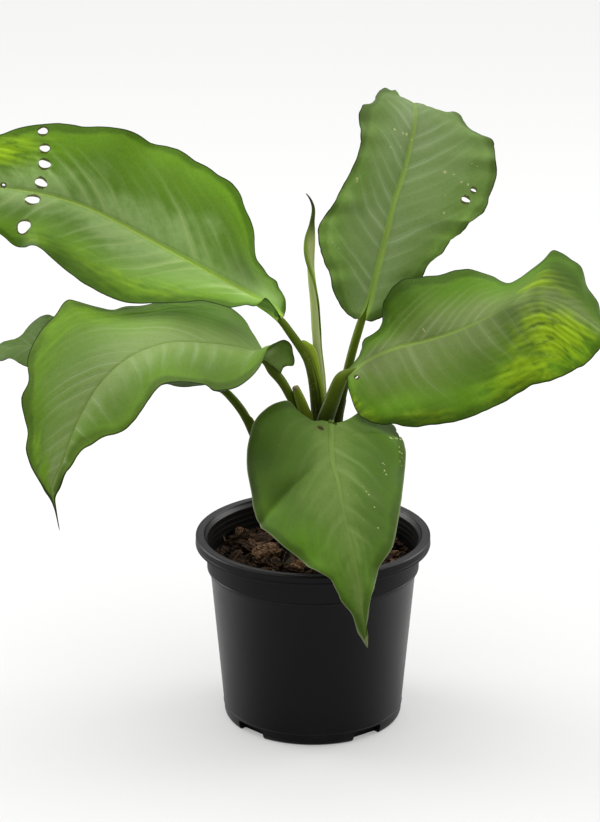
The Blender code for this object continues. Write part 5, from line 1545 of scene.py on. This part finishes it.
def young_leaf_finish():
    """Pale grey-green outside, light yellow-green along the lapping margin, brown at the tip."""
    mat = new_finish("young_leaf_skin", IOR=1.42, Specular_IOR_Level=0.3)
    made = use_group(stalk_streaks, Foot=(0.24, 0.29, 0.09), Middle=(0.56, 0.64, 0.27), Top=(0.56, 0.66, 0.24),
                     Streak=(0.66, 0.74, 0.36))
    along, free = read("along"), read("free")
    colour = tinted(eased(free, 0.08, 0.45), made["Colour"], (0.24, 0.38, 0.030))
    dark_lap = eased(free, 0.55, 0.9) * eased(along, 0.77, 0.83)
    colour = tinted(dark_lap, colour, (0.060, 0.095, 0.010))
    colour = tinted(eased(along, 0.86, 0.93), colour, (0.085, 0.120, 0.018))
    colour = tinted(eased(along, 0.94, 1.0), colour, (0.050, 0.050, 0.024))
    return end_finish(mat, made["Height"], 0.4, 0.2, Base_Color=colour, Roughness=made["Roughness"])


new_leaf = rolled_leaf()
coat(new_leaf, young_leaf_finish(), sharp=50.0)
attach(new_leaf, "root")
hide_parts("rolled_leaf")

# Cut stalk
# The stump of an older leaf: its stalk was cut through and the end has healed over, dry and
# slightly domed, inside what is left of its sheath.
STUMP = {
    "route": [(1, -9, STALK_FOOT), (1, -9, 116), (1, -9, 150), (0.5, -9, 180), (-2.7, -9, 199.5),
              (-6.3, -9, 210.3), (-9.1, -9, 218.3), (-10.9, -9, 223.4)],
    "radii": (3.5, 3.5, 3.5, 3.5, 3.8, 3.6, 3.1, 2.3),
    "clasp": (0.03, 0.80), "opens": (0.2, 0.97, 0.0), "wing": 0.6,
}
CAP_ANGLES = (0.25, 0.55, 0.85, 1.15, 1.4)


def cut_stalk():
    """The stump as a tube, its end closed by a few rings that shrink to a dome."""
    rings, around = 120, 32
    path, radii = stalk_line(STUMP, rings)
    ahead = unit(path[-1] - path[-2])
    cap = [path[-1] + ahead * 1.6 * math.sin(a) for a in CAP_ANGLES]
    shrink = [radii[-1] * math.cos(a) ** 0.7 for a in CAP_ANGLES]
    points, faces = [], []
    tube(np.vstack([path, cap]), np.concatenate([radii, shrink]), around, points, faces)
    piece = skin("cut_stalk_stump", points, faces)
    share = np.concatenate([np.linspace(0.0, 0.97, rings), np.linspace(0.98, 1.0, len(cap))])
    mark(piece, along=np.repeat(share, around), round=np.tile(np.linspace(0.0, 1.0, around), len(share)))
    return piece, path, radii


stump, stump_path, stump_radii = cut_stalk()
coat(stump, stalk_finish("stump_skin", (0.080, 0.108, 0.010), (0.105, 0.152, 0.008),
                         (0.190, 0.262, 0.016), (0.215, 0.275, 0.030), cap=(0.260, 0.235, 0.100)))
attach(stump, "root")
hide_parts("cut_stalk")
stump_wing = sheath("cut_stalk", STUMP, stump_path, stump_radii)
coat(stump_wing, sheath_skin)
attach(stump_wing, "root")

# Studio
# A wide matt white floor, soft lights at both sides and above, and the camera at the height
# and distance that the pot's rim gives.
FLOOR_REACH = 6000.0
LIGHT_AIM = (0.0, 0.0, 0.12)
CAMERA_PLACE = (-0.0083, -1.8872, 0.8675)
CAMERA_TILT = 70.66
CAMERA_LENS = 139.2


def studio_floor():
    """Matt paper that looks evenly white, and throws back only part of that light."""
    corners = [(x * FLOOR_REACH, y * FLOOR_REACH, 0.0) for y in (-1, 1) for x in (-1, 1)]
    floor = skin("studio_floor", corners, [(0, 1, 3, 2)])
    coat(floor, new_finish("studio_paper", Roughness=0.95, Specular_IOR_Level=0.0, Emission_Strength=1.0))
    seen = put("LightPath")["Is Camera Ray"]
    feed_shader(Base_Color=tinted(seen, (0.30, 0.30, 0.30), (0.43, 0.43, 0.43)),
                Emission_Color=tinted(seen, (0.0, 0.0, 0.0), (0.305, 0.305, 0.30)))
    return floor


def soft_light(name, place, size, power):
    lamp = bpy.data.lights.new(name, "AREA")
    lamp.shape = "RECTANGLE"
    lamp.size, lamp.size_y = size
    lamp.energy = power
    light = linked(name, lamp)
    light.location = place
    light.rotation_euler = (Vector(LIGHT_AIM) - Vector(place)).to_track_quat("-Z", "Y").to_euler()


def studio_air():
    """A white room for the camera; light from the ceiling, least from behind the camera."""
    world = bpy.data.worlds.new("studio_air")
    world.use_nodes = True
    Signal.tree = world.node_tree
    _, y, z = parts_of(put("TexCoord")["Generated"])
    ceiling = eased(z, 0.05, 0.95, 0.22, 1.75)
    behind = eased(y, -1.0, 0.0, 0.35, 1.0)
    light = ceiling * calc("MAXIMUM", behind, eased(z, 0.35, 0.85))
    seen = put("LightPath")["Is Camera Ray"]
    shown = put("Mix", {0: seen, 2: light, 3: 0.97}, data_type="FLOAT")[0]
    background = world.node_tree.nodes["Background"]
    feed(background.inputs["Color"], (1.0, 1.0, 1.0))
    feed(background.inputs["Strength"], shown)
    return world


scene = bpy.context.scene
studio_floor()
scene.world = studio_air()
soft_light("left_softbox", (-1.4, 0.6, 0.55), (0.9, 1.3), 15.0)
soft_light("right_softbox", (1.4, 0.6, 0.55), (0.9, 1.3), 12.0)
scene.view_settings.view_transform = "Standard"
scene.view_settings.exposure = 0.12
scene.view_settings.gamma = 0.9
camera = linked("camera", bpy.data.cameras.new("camera"))
camera.data.sensor_width = 36.0
camera.data.lens = CAMERA_LENS
camera.data.clip_end = 50.0
camera.location = CAMERA_PLACE
camera.rotation_euler = (math.radians(CAMERA_TILT), 0.0, 0.0)
scene.camera = camera
